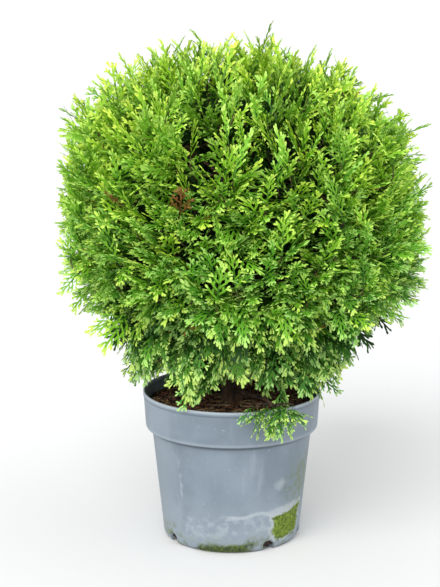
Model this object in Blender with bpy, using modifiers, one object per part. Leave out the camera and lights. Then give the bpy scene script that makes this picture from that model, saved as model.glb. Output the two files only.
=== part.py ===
"""A globe thuja, 52 cm tall, in a grey nursery pot, as separate solids.

Metres, +Z up. The origin is the middle of the pot's underside, and the front faces -Y.
"""

import math
import random

import bmesh
import bpy
from mathutils import Matrix, Vector, noise
from mathutils.bvhtree import BVHTree
from mathutils.geometry import interpolate_bezier

SEED = 52
GAP = 0.0003  # between pieces that meet

# Pot: a thin moulded shell whose top steps out into a tall collar
POT_HEIGHT = 0.147
POT_SIDES = 36
WALL = 0.0018
RIM_RADIUS = 0.0885
COLLAR_HEIGHT = 0.036
COLLAR_FOOT_RADIUS = 0.0857
SHOULDER_RADIUS = 0.0795
SHOULDER_DROP = 0.0025
BASE_RADIUS = 0.067
BASE_ROUND = 0.005
ROUND_STEPS = 3
FOOT_WIDTH = 0.010
PAD_RADIUS = 0.030
GROOVE_DEPTH = 0.002  # the ring between the foot and the flat pad in the middle
DRAINS = 8
DRAIN_FIRST_TURN = -58.0  # degrees round from the front
DRAIN_TILT = 55.0
DRAIN_RADIUS = 0.0065
DRAIN_INSET = 0.003
DRAIN_DEPTH = 0.020
DRAIN_SIDES = 8
SHARP_ANGLE = 30.0  # degrees between faces that still look like one curve

# Soil and the bark mulch on it
SOIL_TOP = 0.129
MULCH_TOP = 0.1355
MULCH_ROUGHNESS = 0.0022
MULCH_LUMPS = 60.0  # to the metre
MULCH_SIDES = 24
MULCH_RINGS = 3

# Trunk: flared at the soil, tapering, leaning a little to the right
TRUNK_TOP = 0.345
TRUNK_LEAN = 0.012
TRUNK_RADIUS = 0.0095
TRUNK_TIP_RADIUS = 0.0032
FLARE_RADIUS = 0.0050
FLARE_HEIGHT = 0.012
TRUNK_POINTS = 11
TRUNK_CROWDING = 1.4  # over 1, the points lie closer towards the flare
TRUNK_ROUNDNESS = 4
CLEARANCE_SUNK = 0.002

# Crown: a ball that is a little squared off, on the trunk's lean
CROWN_CENTRE = Vector((0.012, 0.0, 0.320))
CROWN_RADIUS = 0.175
CROWN_TOP = 0.172
CROWN_DEPTH = 0.185
CROWN_POWER = 2.4
CORE_LEVEL = 0.77  # the surface is level 1
CORE_LUMPS = (0.86, 1.0)
MASS_LEVEL = 0.62
CELL_MARGIN = 0.0016
BLADE_MARGIN = 0.0008
HOLLOW_RADIUS = 0.050  # kept free round the trunk
HOLLOW_TOP = 0.385
CORE_FLOOR = 0.161
BLADE_FLOOR = 0.130
RIM_CLEARANCE = 0.003  # outwards, and above the rim
HALVINGS = 24  # in a search for a distance
EDGE_STEPS = 4  # at which a blade's edge is tested against the pot

# Rings of masses: how many, degrees above the crown's middle, first turn from the front,
# the height at which the first bough leaves the trunk, and the height that its outer end points back to
RINGS = {
    "upper": (5, 42.0, 36.0, 0.262, 0.305),
    "middle": (7, 3.0, 12.0, 0.208, 0.290),
    "lower": (6, -38.0, -14.0, 0.160, 0.190),
}
BOUGH_STEP = 0.005  # each bough of a ring leaves the trunk this much above the last
BOUGH_RADIUS = 0.0034
BOUGH_TIP_RADIUS = 0.0022
BOUGH_POINTS = 5
BOUGH_ROUNDNESS = 1
BOUGH_END = 0.043  # out from the trunk's axis
BOUGH_BOW = 0.38

# Toothed blades, each standing for a spray, and the twigs that carry some of them clear of the core
SITES = 195
LOWEST_SITE = -0.93  # sine of its angle below the crown's middle
SITE_SCATTER = 0.05
TWIG_EVERY = 6
TWIG_LEVEL = 0.88
TWIG_RADIUS = 0.0020
TWIG_TIP_RADIUS = 0.0010
TWIG_SIDE_START = 0.80
TWIG_SIDE_TURN = 55.0
BLADE_THICKNESS = 0.0012
BLADE_SUNK = 0.007
SHORTEST_BLADE = 0.044
LONGEST_BLADE = 0.084
BLADE_WIDTH = 1.25  # times as broad as its outline
BLADE_TRIES = 10
BLADE_SHRINK = 0.04
BLADE_ROLL = 0.5
NEARLY_UPRIGHT = 0.05
TIP_LEVELS = (0.96, 1.05)
FLAT_ENOUGH = 0.003  # radians between faces that are joined into one

# A blade's outline, in shares of its length
BLADE_ROOT = 0.035
BLADE_RIB = 0.055
FIRST_TOOTH = 0.10
TEETH_SHARE = 0.62
TOOTH_ANGLE = 38.0
TOOTH_LENGTH = 0.46
TOOTH_SHORTER = 0.07
TOOTH_STAGGER = 0.07

# How the sprays turn as they grow: outwards, and up or down by their place in the crown
OUTWARDS = 0.7
LIFT = 0.6
LIFT_ABOVE = 0.35
LIFT_BELOW = 1.4
UNEVEN = 0.34

# Shoots that reach past the rest: their tips as seen from the front
LONG_SHOOTS = (
    (0.034, 0.514),
    (-0.032, 0.508),
    (-0.116, 0.473),
    (0.191, 0.366),
    (0.188, 0.317),
    (0.190, 0.261),
)
LONG_SHOOT_BLADE = 0.045
LONG_SHOOT_WIDTH = 0.55
LONG_SHOOT_ROLL = 0.6

# Sprays that hang over the rim at the front
HANG_LEFT = 0.010
HANG_RIGHT = 0.072
HANG_FRONT = -0.030
HANG_CEILING = 0.159
HANG_BOUGH_HEIGHT = 0.146
HANG_BOUGH_END = (0.026, -0.048, 0.151)
HANG_CREST = (0.040, -0.088, 0.1535)
HANG_TIPS = ((0.024, 0.136), (0.040, 0.122), (0.057, 0.132))
HANG_FORWARD = -0.101
HANG_KNEE_DROP = 0.002
HANG_TWIG_ROOT = 0.1
HANG_BLADE_SUNK = 0.004
HANG_BLADE_WIDTH = 0.9
HANG_SIDE_START = 0.86
HANG_SIDE_BLADE = 0.030
HANG_SIDE_HEADING = (0.8, -0.45, 0.12)

POT_GREY = (0.30, 0.36, 0.42)
SOIL_BROWN = (0.030, 0.018, 0.011)
MULCH_BROWN = (0.085, 0.040, 0.022)
BARK_BROWN = (0.155, 0.090, 0.055)
SHADE_GREEN = (0.030, 0.075, 0.008)
LEAF_GREENS = {
    "top": (0.21, 0.38, 0.032),
    "upper": (0.17, 0.33, 0.028),
    "middle": (0.12, 0.26, 0.024),
    "lower": (0.085, 0.20, 0.018),
}


def clear_scene():
    for thing in list(bpy.data.objects):
        bpy.data.objects.remove(thing, do_unlink=True)


def new_collection(name):
    collection = bpy.data.collections.new(name)
    bpy.context.scene.collection.children.link(collection)
    return collection


def principled(name, colour, roughness):
    material = bpy.data.materials.new(name)
    material.use_nodes = True
    shader = material.node_tree.nodes["Principled BSDF"]
    shader.inputs["Base Color"].default_value = (*colour, 1.0)
    shader.inputs["Roughness"].default_value = roughness
    shader.inputs["Metallic"].default_value = 0.0
    material.diffuse_color = (*colour, 1.0)
    return material


def add_object(name, data, collection, material=None):
    thing = bpy.data.objects.new(name, data)
    collection.objects.link(thing)
    if material:
        data.materials.clear()
        data.materials.append(material)
    return thing


def helper(thing):
    thing.hide_render = True
    thing.display_type = "WIRE"
    return thing


def evaluated_mesh(thing):
    """The mesh of an object with its modifiers applied, or of a curve, with its seams welded."""
    bpy.context.view_layer.update()
    graph = bpy.context.evaluated_depsgraph_get()
    mesh = bpy.data.meshes.new_from_object(thing.evaluated_get(graph))
    shape = bmesh.new()
    shape.from_mesh(mesh)
    bmesh.ops.remove_doubles(shape, verts=shape.verts, dist=1e-6)
    shape.to_mesh(mesh)
    shape.free()
    return mesh


def as_mesh_object(thing):
    """Makes a curve object a mesh object of the same name, place and collection."""
    mesh = evaluated_mesh(thing)
    name = thing.name
    collection = thing.users_collection[0]
    place = thing.matrix_world.copy()
    material = thing.data.materials[0] if thing.data.materials else None
    bpy.data.objects.remove(thing, do_unlink=True)
    solid = add_object(name, mesh, collection, material)
    solid.matrix_world = place
    return solid


def apply_modifiers(thing):
    mesh = evaluated_mesh(thing)
    thing.modifiers.clear()
    thing.data = mesh


def turned(name, profile, sides, collection, material):
    """A solid of revolution. Its profile is (radius, height) from the axis, up, over and down the outside."""
    mesh = bpy.data.meshes.new(name)
    shape = bmesh.new()
    points = [shape.verts.new((radius, 0.0, height)) for radius, height in profile]
    for first, second in zip(points, points[1:]):
        shape.edges.new((first, second))
    shape.to_mesh(mesh)
    shape.free()
    thing = add_object(name, mesh, collection, material)
    screw = thing.modifiers.new("turn", "SCREW")
    screw.steps = sides
    screw.render_steps = sides
    screw.use_merge_vertices = True
    screw.merge_threshold = 0.00001
    return thing


def tube(name, points, radii, resolution, collection, material=None):
    """A tapering limb along points, as a bevelled curve with filled caps."""
    curve = bpy.data.curves.new(name, "CURVE")
    curve.dimensions = "3D"
    curve.bevel_depth = 1.0
    curve.bevel_resolution = resolution
    curve.use_fill_caps = True
    spline = curve.splines.new("POLY")
    spline.points.add(len(points) - 1)
    for knot, point, radius in zip(spline.points, points, radii):
        knot.co = (*point, 1.0)
        knot.radius = radius
    return add_object(name, curve, collection, material)


def boolean(thing, operation, other=None, others=None):
    modifier = thing.modifiers.new(operation.lower(), "BOOLEAN")
    modifier.operation = operation
    modifier.solver = "EXACT"
    modifier.material_mode = "TRANSFER"
    if others:
        modifier.operand_type = "COLLECTION"
        modifier.collection = others
    else:
        modifier.object = other
    return modifier


# Pot


def body_radius(height):
    """The outer radius of the pot's body, under its collar."""
    shoulder = POT_HEIGHT - COLLAR_HEIGHT - SHOULDER_DROP
    return BASE_RADIUS + (SHOULDER_RADIUS - BASE_RADIUS) * height / shoulder


def collar_radius(height):
    """The outer radius of the pot's collar."""
    foot = POT_HEIGHT - COLLAR_HEIGHT
    return COLLAR_FOOT_RADIUS + (RIM_RADIUS - COLLAR_FOOT_RADIUS) * (height - foot) / COLLAR_HEIGHT


def pot_profile():
    collar_foot = POT_HEIGHT - COLLAR_HEIGHT
    shoulder = collar_foot - SHOULDER_DROP
    floor_top = GROOVE_DEPTH + WALL
    lip = WALL / 2
    inside = [
        (0.0, floor_top),
        (body_radius(floor_top) - WALL, floor_top),
        (body_radius(shoulder) - WALL, shoulder + WALL),
        (collar_radius(collar_foot) - WALL, collar_foot + WALL),
        (RIM_RADIUS - WALL, POT_HEIGHT - lip),
    ]
    top = [
        (RIM_RADIUS - lip, POT_HEIGHT),
        (RIM_RADIUS, POT_HEIGHT - lip),
    ]
    outside = [
        (collar_radius(collar_foot), collar_foot),
        (body_radius(shoulder), shoulder),
    ]
    foot = []
    for step in range(ROUND_STEPS + 1):
        turn = math.radians(90.0) * step / ROUND_STEPS
        radius = body_radius(BASE_ROUND) - BASE_ROUND * (1.0 - math.cos(turn))
        foot.append((radius, BASE_ROUND * (1.0 - math.sin(turn))))
    inner_foot = foot[-1][0] - FOOT_WIDTH
    foot += [
        (inner_foot, 0.0),
        (inner_foot - GROOVE_DEPTH, GROOVE_DEPTH),
        (PAD_RADIUS + GROOVE_DEPTH, GROOVE_DEPTH),
        (PAD_RADIUS, 0.0),
        (0.0, 0.0),
    ]
    return inside + top + outside + foot


def round_the_pot(turn, radius, height):
    """The point at a turn in degrees from the front, by way of the right."""
    angle = math.radians(turn)
    return Vector((radius * math.sin(angle), -radius * math.cos(angle), height))


def make_rod(name, place, start_radius, end_radius, length, sides, collection, material=None):
    """A straight tapering rod, along the Z axis of its place."""
    shape = bmesh.new()
    bmesh.ops.create_cone(
        shape,
        cap_ends=True,
        segments=sides,
        radius1=start_radius,
        radius2=end_radius,
        depth=length,
        matrix=place,
    )
    mesh = bpy.data.meshes.new(name)
    shape.to_mesh(mesh)
    shape.free()
    return add_object(name, mesh, collection, material)


def remove_collection(collection):
    for thing in list(collection.objects):
        bpy.data.objects.remove(thing, do_unlink=True)
    bpy.data.collections.remove(collection)


def make_pot(parts, material):
    pot = turned("pot", pot_profile(), POT_SIDES, parts, material)
    drains = new_collection("drains")
    tilt = Matrix.Rotation(math.radians(DRAIN_TILT), 4, "X")
    for index in range(DRAINS):
        turn = DRAIN_FIRST_TURN + index * 360.0 / DRAINS
        place = Matrix.Translation(round_the_pot(turn, BASE_RADIUS - DRAIN_INSET, BASE_ROUND / 2))
        place = place @ Matrix.Rotation(math.radians(turn), 4, "Z") @ tilt
        make_rod("drain", place, DRAIN_RADIUS, DRAIN_RADIUS, DRAIN_DEPTH, DRAIN_SIDES, drains)
    boolean(pot, "DIFFERENCE", others=drains)
    apply_modifiers(pot)
    remove_collection(drains)
    pot.data.shade_smooth()
    pot.data.set_sharp_from_angle(angle=math.radians(SHARP_ANGLE))


# Soil, mulch and trunk


def make_soil(parts, material):
    collar_foot = POT_HEIGHT - COLLAR_HEIGHT
    shoulder = collar_foot - SHOULDER_DROP
    bottom = GROOVE_DEPTH + WALL + GAP
    inset = WALL + GAP
    clear_foot = collar_foot + WALL + GAP
    profile = [
        (0.0, SOIL_TOP),
        (collar_radius(SOIL_TOP) - inset, SOIL_TOP),
        (collar_radius(clear_foot) - inset, clear_foot),
        (body_radius(shoulder) - inset, shoulder + WALL + GAP),
        (body_radius(bottom) - inset, bottom),
        (0.0, bottom),
    ]
    turned("soil", profile, POT_SIDES, parts, material)


def make_mulch(parts, clearance, material):
    """A loose layer on the soil, uneven on top, open round the trunk."""
    outer = collar_radius(SOIL_TOP) - WALL - 2 * GAP
    profile = [(0.0, MULCH_TOP)]
    for ring in range(1, MULCH_RINGS + 1):
        profile.append((outer * ring / MULCH_RINGS, MULCH_TOP))
    profile += [(outer, SOIL_TOP + GAP), (0.0, SOIL_TOP + GAP)]
    mulch = turned("bark_mulch", profile, MULCH_SIDES, parts, material)
    apply_modifiers(mulch)
    for vertex in mulch.data.vertices:
        if vertex.co.z > MULCH_TOP - GAP:
            vertex.co.z += MULCH_ROUGHNESS * noise.noise(vertex.co * MULCH_LUMPS)
    boolean(mulch, "DIFFERENCE", other=clearance)
    apply_modifiers(mulch)


def trunk_axis(height):
    """The middle of the trunk at a height: it rises upright, then leans."""
    share = (height - SOIL_TOP) / (TRUNK_TOP - SOIL_TOP)
    return Vector((TRUNK_LEAN * share * share * (3.0 - 2.0 * share), 0.0, height))


def trunk_radius(height):
    share = (height - SOIL_TOP) / (TRUNK_TOP - SOIL_TOP)
    flare = FLARE_RADIUS * math.exp(-(height - SOIL_TOP) / FLARE_HEIGHT)
    return TRUNK_RADIUS + (TRUNK_TIP_RADIUS - TRUNK_RADIUS) * share + flare


def trunk_tube(name, extra, foot, collection, material=None):
    points = []
    radii = []
    for index in range(TRUNK_POINTS):
        share = (index / (TRUNK_POINTS - 1)) ** TRUNK_CROWDING
        height = foot + (TRUNK_TOP + extra - foot) * share
        points.append(trunk_axis(height))
        radii.append(trunk_radius(height) + extra)
    return as_mesh_object(tube(name, points, radii, TRUNK_ROUNDNESS, collection, material))


# Crown


def level(point):
    """How far out a point lies in the crown: 0 at its middle, 1 at its surface."""
    away = point - CROWN_CENTRE
    tall = CROWN_TOP if away.z > 0 else CROWN_DEPTH
    across = math.hypot(away.x, away.y) / CROWN_RADIUS
    return (across**CROWN_POWER + (abs(away.z) / tall) ** CROWN_POWER) ** (1.0 / CROWN_POWER)


def distance_to(start, heading, wanted):
    """How far it is from a point, along a heading, to a level further out."""
    near = 0.0
    far = 2 * CROWN_RADIUS
    for _ in range(HALVINGS):
        middle = (near + far) / 2
        if level(start + heading * middle) < wanted:
            near = middle
        else:
            far = middle
    return near


def heading_of(turn, rise):
    """The direction at a turn from the front and a rise from level, both in degrees."""
    flat = math.cos(math.radians(rise))
    return round_the_pot(turn, flat, math.sin(math.radians(rise)))


def mass_places():
    """Each mass of the crown, by name: the middle of its space and its outward heading."""
    up = Vector((0.0, 0.0, 1.0))
    places = {"top": (CROWN_CENTRE + up * CROWN_TOP * MASS_LEVEL, up)}
    for ring, (count, rise, first_turn, _, _) in RINGS.items():
        for index in range(count):
            heading = heading_of(first_turn + index * 360.0 / count, rise)
            middle = CROWN_CENTRE + heading * distance_to(CROWN_CENTRE, heading, MASS_LEVEL)
            places[f"{ring}_{index + 1}"] = (middle, heading)
    return places


def cell_walls(name, places, margin, floor):
    """The planes round a mass's space, each a point and an outward normal."""
    middle, heading = places[name]
    walls = []
    for other, (centre, _) in places.items():
        if other == name:
            continue
        away = (centre - middle).normalized()
        walls.append(((centre + middle) / 2 - away * margin, away))
    if name == "top":
        walls.append((Vector((0.0, 0.0, HOLLOW_TOP)), Vector((0.0, 0.0, -1.0))))
        return walls
    inward = Vector((-heading.x, -heading.y, 0.0)).normalized()
    aim_height = RINGS[name.split("_")[0]][4]
    walls.append((trunk_axis(aim_height) - inward * HOLLOW_RADIUS, inward))
    walls.append((Vector((0.0, 0.0, floor)), Vector((0.0, 0.0, -1.0))))
    return walls


def make_core(name, places, collection, material, chance):
    """A lumpy solid that fills the inner part of a mass's space."""
    middle = places[name][0]
    walls = cell_walls(name, places, CELL_MARGIN, CORE_FLOOR)
    shape = bmesh.new()
    bmesh.ops.create_icosphere(shape, subdivisions=2, radius=1.0)
    for vertex in shape.verts:
        ray = vertex.co.normalized()
        reach = distance_to(middle, ray, CORE_LEVEL * chance.uniform(*CORE_LUMPS))
        for point, outward in walls:
            slope = ray.dot(outward)
            if slope > 0.0:
                reach = min(reach, (point - middle).dot(outward) / slope)
        vertex.co = middle + ray * reach
    mesh = bpy.data.meshes.new(f"core_{name}")
    shape.to_mesh(mesh)
    surface = BVHTree.FromBMesh(shape)
    shape.free()
    add_object(mesh.name, mesh, collection, material)
    return surface


def make_twig(name, start, end, start_radius, end_radius, collection, material):
    """A straight three-sided twig between two points."""
    along = end - start
    place = Matrix.Translation((start + end) / 2) @ along.to_track_quat("Z", "Y").to_matrix().to_4x4()
    return make_rod(name, place, start_radius, end_radius, along.length, 3, collection, material)


def blade_outline(pairs):
    """A toothed outline, 1 long: a narrow root, teeth that point forwards on both sides, and a tip."""
    lean = math.radians(TOOTH_ANGLE)
    step = TEETH_SHARE / pairs
    sides = []
    for side, stagger in ((1.0, 0.0), (-1.0, TOOTH_STAGGER)):
        points = [(side * BLADE_ROOT, 0.0)]
        for index in range(pairs):
            foot = FIRST_TOOTH + stagger + step * index
            reach = TOOTH_LENGTH - TOOTH_SHORTER * index
            points.append((side * reach * math.sin(lean), foot + reach * math.cos(lean)))
            points.append((side * BLADE_RIB, foot + step))
        sides.append(points)
    return sides[0] + [(0.0, 1.0)] + sides[1][::-1]


def make_blade_shape(pairs, material, collection):
    """A blade's mesh, cut from a plate. Its length runs along Y, and it is scaled when it is placed."""
    curve = bpy.data.curves.new(f"blade_{pairs}", "CURVE")
    curve.dimensions = "2D"
    curve.fill_mode = "BOTH"
    curve.extrude = 0.5
    outline = blade_outline(pairs)
    spline = curve.splines.new("POLY")
    spline.points.add(len(outline) - 1)
    for knot, (across, along) in zip(spline.points, outline):
        knot.co = (across, along, 0.0, 1.0)
    spline.use_cyclic_u = True
    plate = as_mesh_object(add_object(curve.name, curve, collection, material))
    mesh = plate.data
    bpy.data.objects.remove(plate, do_unlink=True)
    return mesh


def growth(point):
    """The heading in which sprays grow: up at the top, outwards half way, drooping below."""
    out = (point - CROWN_CENTRE).normalized()
    slope = LIFT_ABOVE if out.z > 0 else LIFT_BELOW
    return (out * OUTWARDS + Vector((0.0, 0.0, LIFT + slope * out.z))).normalized()


def blade_frame(root, heading, roll, length, width):
    """Places a blade at its root, along a heading, rolled from lying flat."""
    up = Vector((0.0, 0.0, 1.0))
    across = heading.cross(up)
    if across.length < NEARLY_UPRIGHT:
        across = Vector((1.0, 0.0, 0.0))
    across = Matrix.Rotation(roll, 3, heading) @ (across - heading * across.dot(heading)).normalized()
    face = across.cross(heading)
    turn = Matrix((across * width, heading * length, face * BLADE_THICKNESS)).transposed().to_4x4()
    return Matrix.Translation(root) @ turn


def clear_of_pot(point):
    """True where a point of the foliage is clear of the pot, the mulch and the sprays that hang."""
    from_axis = math.hypot(point.x, point.y)
    if from_axis < RIM_RADIUS + RIM_CLEARANCE and point.z < POT_HEIGHT + RIM_CLEARANCE:
        return False
    hanging = HANG_LEFT < point.x < HANG_RIGHT and point.y < HANG_FRONT and point.z < HANG_CEILING
    return not hanging


class Space:
    """The room that one mass keeps to, and the blades that already stand in it."""

    def __init__(self, middle, walls):
        self.middle = middle
        self.walls = walls
        self.standing = []

    def takes(self, mesh, place):
        """True where a blade at a place keeps to the room and runs through no other. It then stands there."""
        points = [place @ vertex.co for vertex in mesh.vertices]
        for point in points:
            for wall, outward in self.walls:
                if (point - wall).dot(outward) > 0.0:
                    return False
        for edge in mesh.edges:
            first, second = (points[index] for index in edge.vertices)
            for step in range(EDGE_STEPS + 1):
                if not clear_of_pot(first.lerp(second, step / EDGE_STEPS)):
                    return False
        blade = BVHTree.FromPolygons(points, [face.vertices[:] for face in mesh.polygons])
        if any(blade.overlap(other) for other in self.standing):
            return False
        self.standing.append(blade)
        return True

    def pushed_inside(self, point):
        """The point, moved back from any wall that it is too near for a twig."""
        for wall, outward in self.walls:
            past = (point - wall).dot(outward) + TWIG_RADIUS
            if past > 0.0:
                point = point - outward * past
        return point


def add_blade(mesh, place, parts):
    add_object("blade", mesh, parts).matrix_world = place


def grow_blade(root, ahead, away, shape, space, parts, chance):
    """A blade that reaches about to the crown's surface. Where it doesn't fit, it turns to point away from
    its mass's middle and shrinks."""
    for attempt in range(BLADE_TRIES):
        heading = ahead.lerp(away, attempt / BLADE_TRIES)
        heading += Vector([chance.uniform(-UNEVEN, UNEVEN) for _ in range(3)])
        heading.normalize()
        length = distance_to(root, heading, chance.uniform(*TIP_LEVELS))
        length = min(max(length, SHORTEST_BLADE), LONGEST_BLADE) * (1.0 - BLADE_SHRINK * attempt)
        roll = chance.uniform(-BLADE_ROLL, BLADE_ROLL)
        place = blade_frame(root, heading, roll, length, length * BLADE_WIDTH)
        if space.takes(shape, place):
            add_blade(shape, place, parts)
            return


def site_headings(chance):
    """Headings from the crown's middle, spread evenly from low on its underside to its top."""
    golden = math.pi * (3.0 - math.sqrt(5.0))
    headings = []
    for index in range(SITES):
        rise = 1.0 - (1.0 - LOWEST_SITE) * (index + 0.5) / SITES
        flat = math.sqrt(1.0 - rise * rise)
        heading = Vector((flat * math.cos(golden * index), flat * math.sin(golden * index), rise))
        heading += Vector([chance.uniform(-SITE_SCATTER, SITE_SCATTER) for _ in range(3)])
        headings.append(heading.normalized())
    return headings


def dealt_out(points, places):
    """The points that fall to each mass, which are those nearest to its middle."""
    shares = {name: [] for name in places}
    for point in points:
        nearest = min(places, key=lambda name: (places[name][0] - point).length)
        shares[nearest].append(point)
    return shares


def grow_from_core(surface, site, shape, space, parts, chance):
    """A blade that stands straight out of the core."""
    ray = (site - space.middle).normalized()
    hit = surface.ray_cast(space.middle, ray)[0]
    grow_blade(hit - ray * BLADE_SUNK, growth(site), ray, shape, space, parts, chance)


def grow_twig(site, shapes, space, parts, chance):
    """A twig that stands out of the core, with a blade at its end and one at its side."""
    middle = space.middle
    end = space.pushed_inside(site)
    if not clear_of_pot(end):
        return
    make_twig("twig", middle, end, TWIG_RADIUS, TWIG_TIP_RADIUS, parts, shapes[0].materials[0])
    along = (end - middle).normalized()
    ahead = growth(end)
    grow_blade(end - along * BLADE_SUNK, ahead, along, shapes[1], space, parts, chance)
    side = chance.choice((-1.0, 1.0)) * math.radians(TWIG_SIDE_TURN)
    aside = Matrix.Rotation(side, 3, along.cross(ahead).cross(along).normalized()) @ along
    grow_blade(middle.lerp(end, TWIG_SIDE_START), aside, along, shapes[0], space, parts, chance)


def grow_long_shoot(middle, tip, shape, parts):
    """A twig that runs on past the crown's surface, with a slim blade at its end."""
    along = (tip - middle).normalized()
    heading = (along + Vector((0.0, 0.0, LIFT))).normalized()
    root = tip - heading * LONG_SHOOT_BLADE
    end = root + heading * BLADE_SUNK
    make_twig("twig", middle, end, TWIG_RADIUS, TWIG_TIP_RADIUS, parts, shape.materials[0])
    width = LONG_SHOOT_BLADE * LONG_SHOOT_WIDTH
    add_blade(shape, blade_frame(root, heading, LONG_SHOOT_ROLL, LONG_SHOOT_BLADE, width), parts)


def keep_one_body(mesh):
    """Keeps the largest connected shell, which drops scraps and fills sealed hollows, and joins flat faces."""
    shape = bmesh.new()
    shape.from_mesh(mesh)
    shape.faces.ensure_lookup_table()
    left = set(shape.faces)
    shells = []
    while left:
        shell = set()
        edge = [left.pop()]
        while edge:
            face = edge.pop()
            shell.add(face)
            for side in face.edges:
                for neighbour in side.link_faces:
                    if neighbour in left:
                        left.remove(neighbour)
                        edge.append(neighbour)
        shells.append(shell)
    largest = max(shells, key=len)
    scraps = [face for shell in shells if shell is not largest for face in shell]
    bmesh.ops.delete(shape, geom=scraps, context="FACES")
    bmesh.ops.dissolve_limit(shape, angle_limit=FLAT_ENOUGH, verts=shape.verts, edges=shape.edges)
    bmesh.ops.triangulate(shape, faces=shape.faces)
    shape.to_mesh(mesh)
    shape.free()


def fuse(name, stem, parts, collection, material):
    """Joins a mass's stem with all its parts by one Boolean union."""
    mass = add_object(name, stem.data, collection, material)
    bpy.data.objects.remove(stem, do_unlink=True)
    boolean(mass, "UNION", others=parts)
    apply_modifiers(mass)
    remove_collection(parts)
    keep_one_body(mass.data)


def bough_path(name, places):
    """The middle line of a bough: it leaves the trunk half upright, then bends out towards its mass."""
    middle, heading = places[name]
    ring, number = name.split("_")
    _, _, _, foot_height, aim_height = RINGS[ring]
    start = trunk_axis(foot_height + (int(number) - 1) * BOUGH_STEP)
    aim = trunk_axis(aim_height)
    out = Vector((heading.x, heading.y, 0.0)).normalized()
    end = aim.lerp(middle, BOUGH_END / (middle - aim).dot(out))
    bow = (end - start).length * BOUGH_BOW
    first_bend = start + (out + Vector((0.0, 0.0, 1.0))).normalized() * bow
    last_bend = end - (middle - aim).normalized() * bow
    return interpolate_bezier(start, first_bend, last_bend, end, BOUGH_POINTS)


def make_bough(name, points, clearance, collection, material):
    """One tapering limb, cut clear of the trunk at its foot."""
    last = len(points) - 1
    radii = [BOUGH_RADIUS + (BOUGH_TIP_RADIUS - BOUGH_RADIUS) * index / last for index in range(last + 1)]
    bough = as_mesh_object(tube(name, points, radii, BOUGH_ROUNDNESS, collection, material))
    boolean(bough, "DIFFERENCE", other=clearance)
    apply_modifiers(bough)


def stem_start(points, target):
    """Where a mass's stem begins: just clear of its bough's tip, though it may turn there."""
    along = (points[-1] - points[-2]).normalized()
    onward = (target - points[-1]).normalized()
    turn = along.angle(onward)
    return points[-1] + along * (GAP + BOUGH_TIP_RADIUS * math.sin(turn))


def make_mass(name, start, places, sites, tips, collection, greens, cutters):
    """A mass of foliage as one solid: a stem, a core, and the sprays that stand out of the core."""
    middle = places[name][0]
    green = greens[name.split("_")[0]]
    small, large = (make_blade_shape(pairs, green, cutters) for pairs in (1, 2))
    pieces = new_collection(f"parts_{name}")
    stem = make_twig("stem", start, middle, BOUGH_TIP_RADIUS, TWIG_RADIUS, collection, green)
    chance = random.Random(f"{SEED} {name}")
    space = Space(middle, cell_walls(name, places, BLADE_MARGIN, BLADE_FLOOR))
    surface = make_core(name, places, pieces, greens["shade"], chance)
    for index, site in enumerate(sites):
        if index % TWIG_EVERY == 0:
            grow_twig(site, (small, large), space, pieces, chance)
        else:
            grow_from_core(surface, site, large, space, pieces, chance)
    for tip in tips:
        grow_long_shoot(middle, tip, large, pieces)
    fuse(f"foliage_{name}", stem, pieces, collection, green)


def make_hanging_mass(points, collection, material, cutters):
    """Twigs that run out over the rim and hang down its front, with a blade at each end."""
    small, large = (make_blade_shape(pairs, material, cutters) for pairs in (1, 2))
    parts = new_collection("parts_hanging_front")
    crest = Vector(HANG_CREST)
    start = stem_start(points, crest)
    stem = make_twig("stem", start, crest, BOUGH_TIP_RADIUS, TWIG_RADIUS, collection, material)
    for across, height in HANG_TIPS:
        tip = Vector((across, HANG_FORWARD, height))
        knee = Vector(((across + crest.x) / 2, HANG_FORWARD, crest.z - HANG_KNEE_DROP))
        behind = crest - (knee - crest) * HANG_TWIG_ROOT
        make_twig("twig", behind, knee, TWIG_RADIUS, TWIG_TIP_RADIUS, parts, material)
        heading = (tip - knee).normalized()
        root = knee - heading * HANG_BLADE_SUNK
        length = (tip - root).length
        add_blade(large, blade_frame(root, heading, 0.0, length, length * HANG_BLADE_WIDTH), parts)
    root = start.lerp(crest, HANG_SIDE_START)
    for side in (-1.0, 1.0):
        heading = Vector(HANG_SIDE_HEADING)
        heading.x *= side
        place = blade_frame(root, heading.normalized(), 0.0, HANG_SIDE_BLADE, HANG_SIDE_BLADE)
        add_blade(small, place, parts)
    fuse("foliage_hanging_front", stem, parts, collection, material)


def make_crown(parts, cutters, clearance, bark, greens):
    places = mass_places()
    headings = site_headings(random.Random(SEED))
    sites = dealt_out(
        [CROWN_CENTRE + heading * distance_to(CROWN_CENTRE, heading, TWIG_LEVEL) for heading in headings],
        places,
    )
    tips = dealt_out([Vector((across, 0.0, height)) for across, height in LONG_SHOOTS], places)
    for name, (middle, _) in places.items():
        if name == "top":
            start = trunk_axis(TRUNK_TOP) + Vector((0.0, 0.0, GAP))
        else:
            points = bough_path(name, places)
            make_bough(f"bough_{name}", points, clearance, parts, bark)
            start = stem_start(points, middle)
        make_mass(name, start, places, sites[name], tips[name], parts, greens, cutters)


def make_hanging_sprays(parts, cutters, clearance, bark, green):
    start = trunk_axis(HANG_BOUGH_HEIGHT)
    end = Vector(HANG_BOUGH_END)
    points = [start.lerp(end, index / (BOUGH_POINTS - 1)) for index in range(BOUGH_POINTS)]
    make_bough("bough_hanging_front", points, clearance, parts, bark)
    make_hanging_mass(points, parts, green, cutters)


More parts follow.
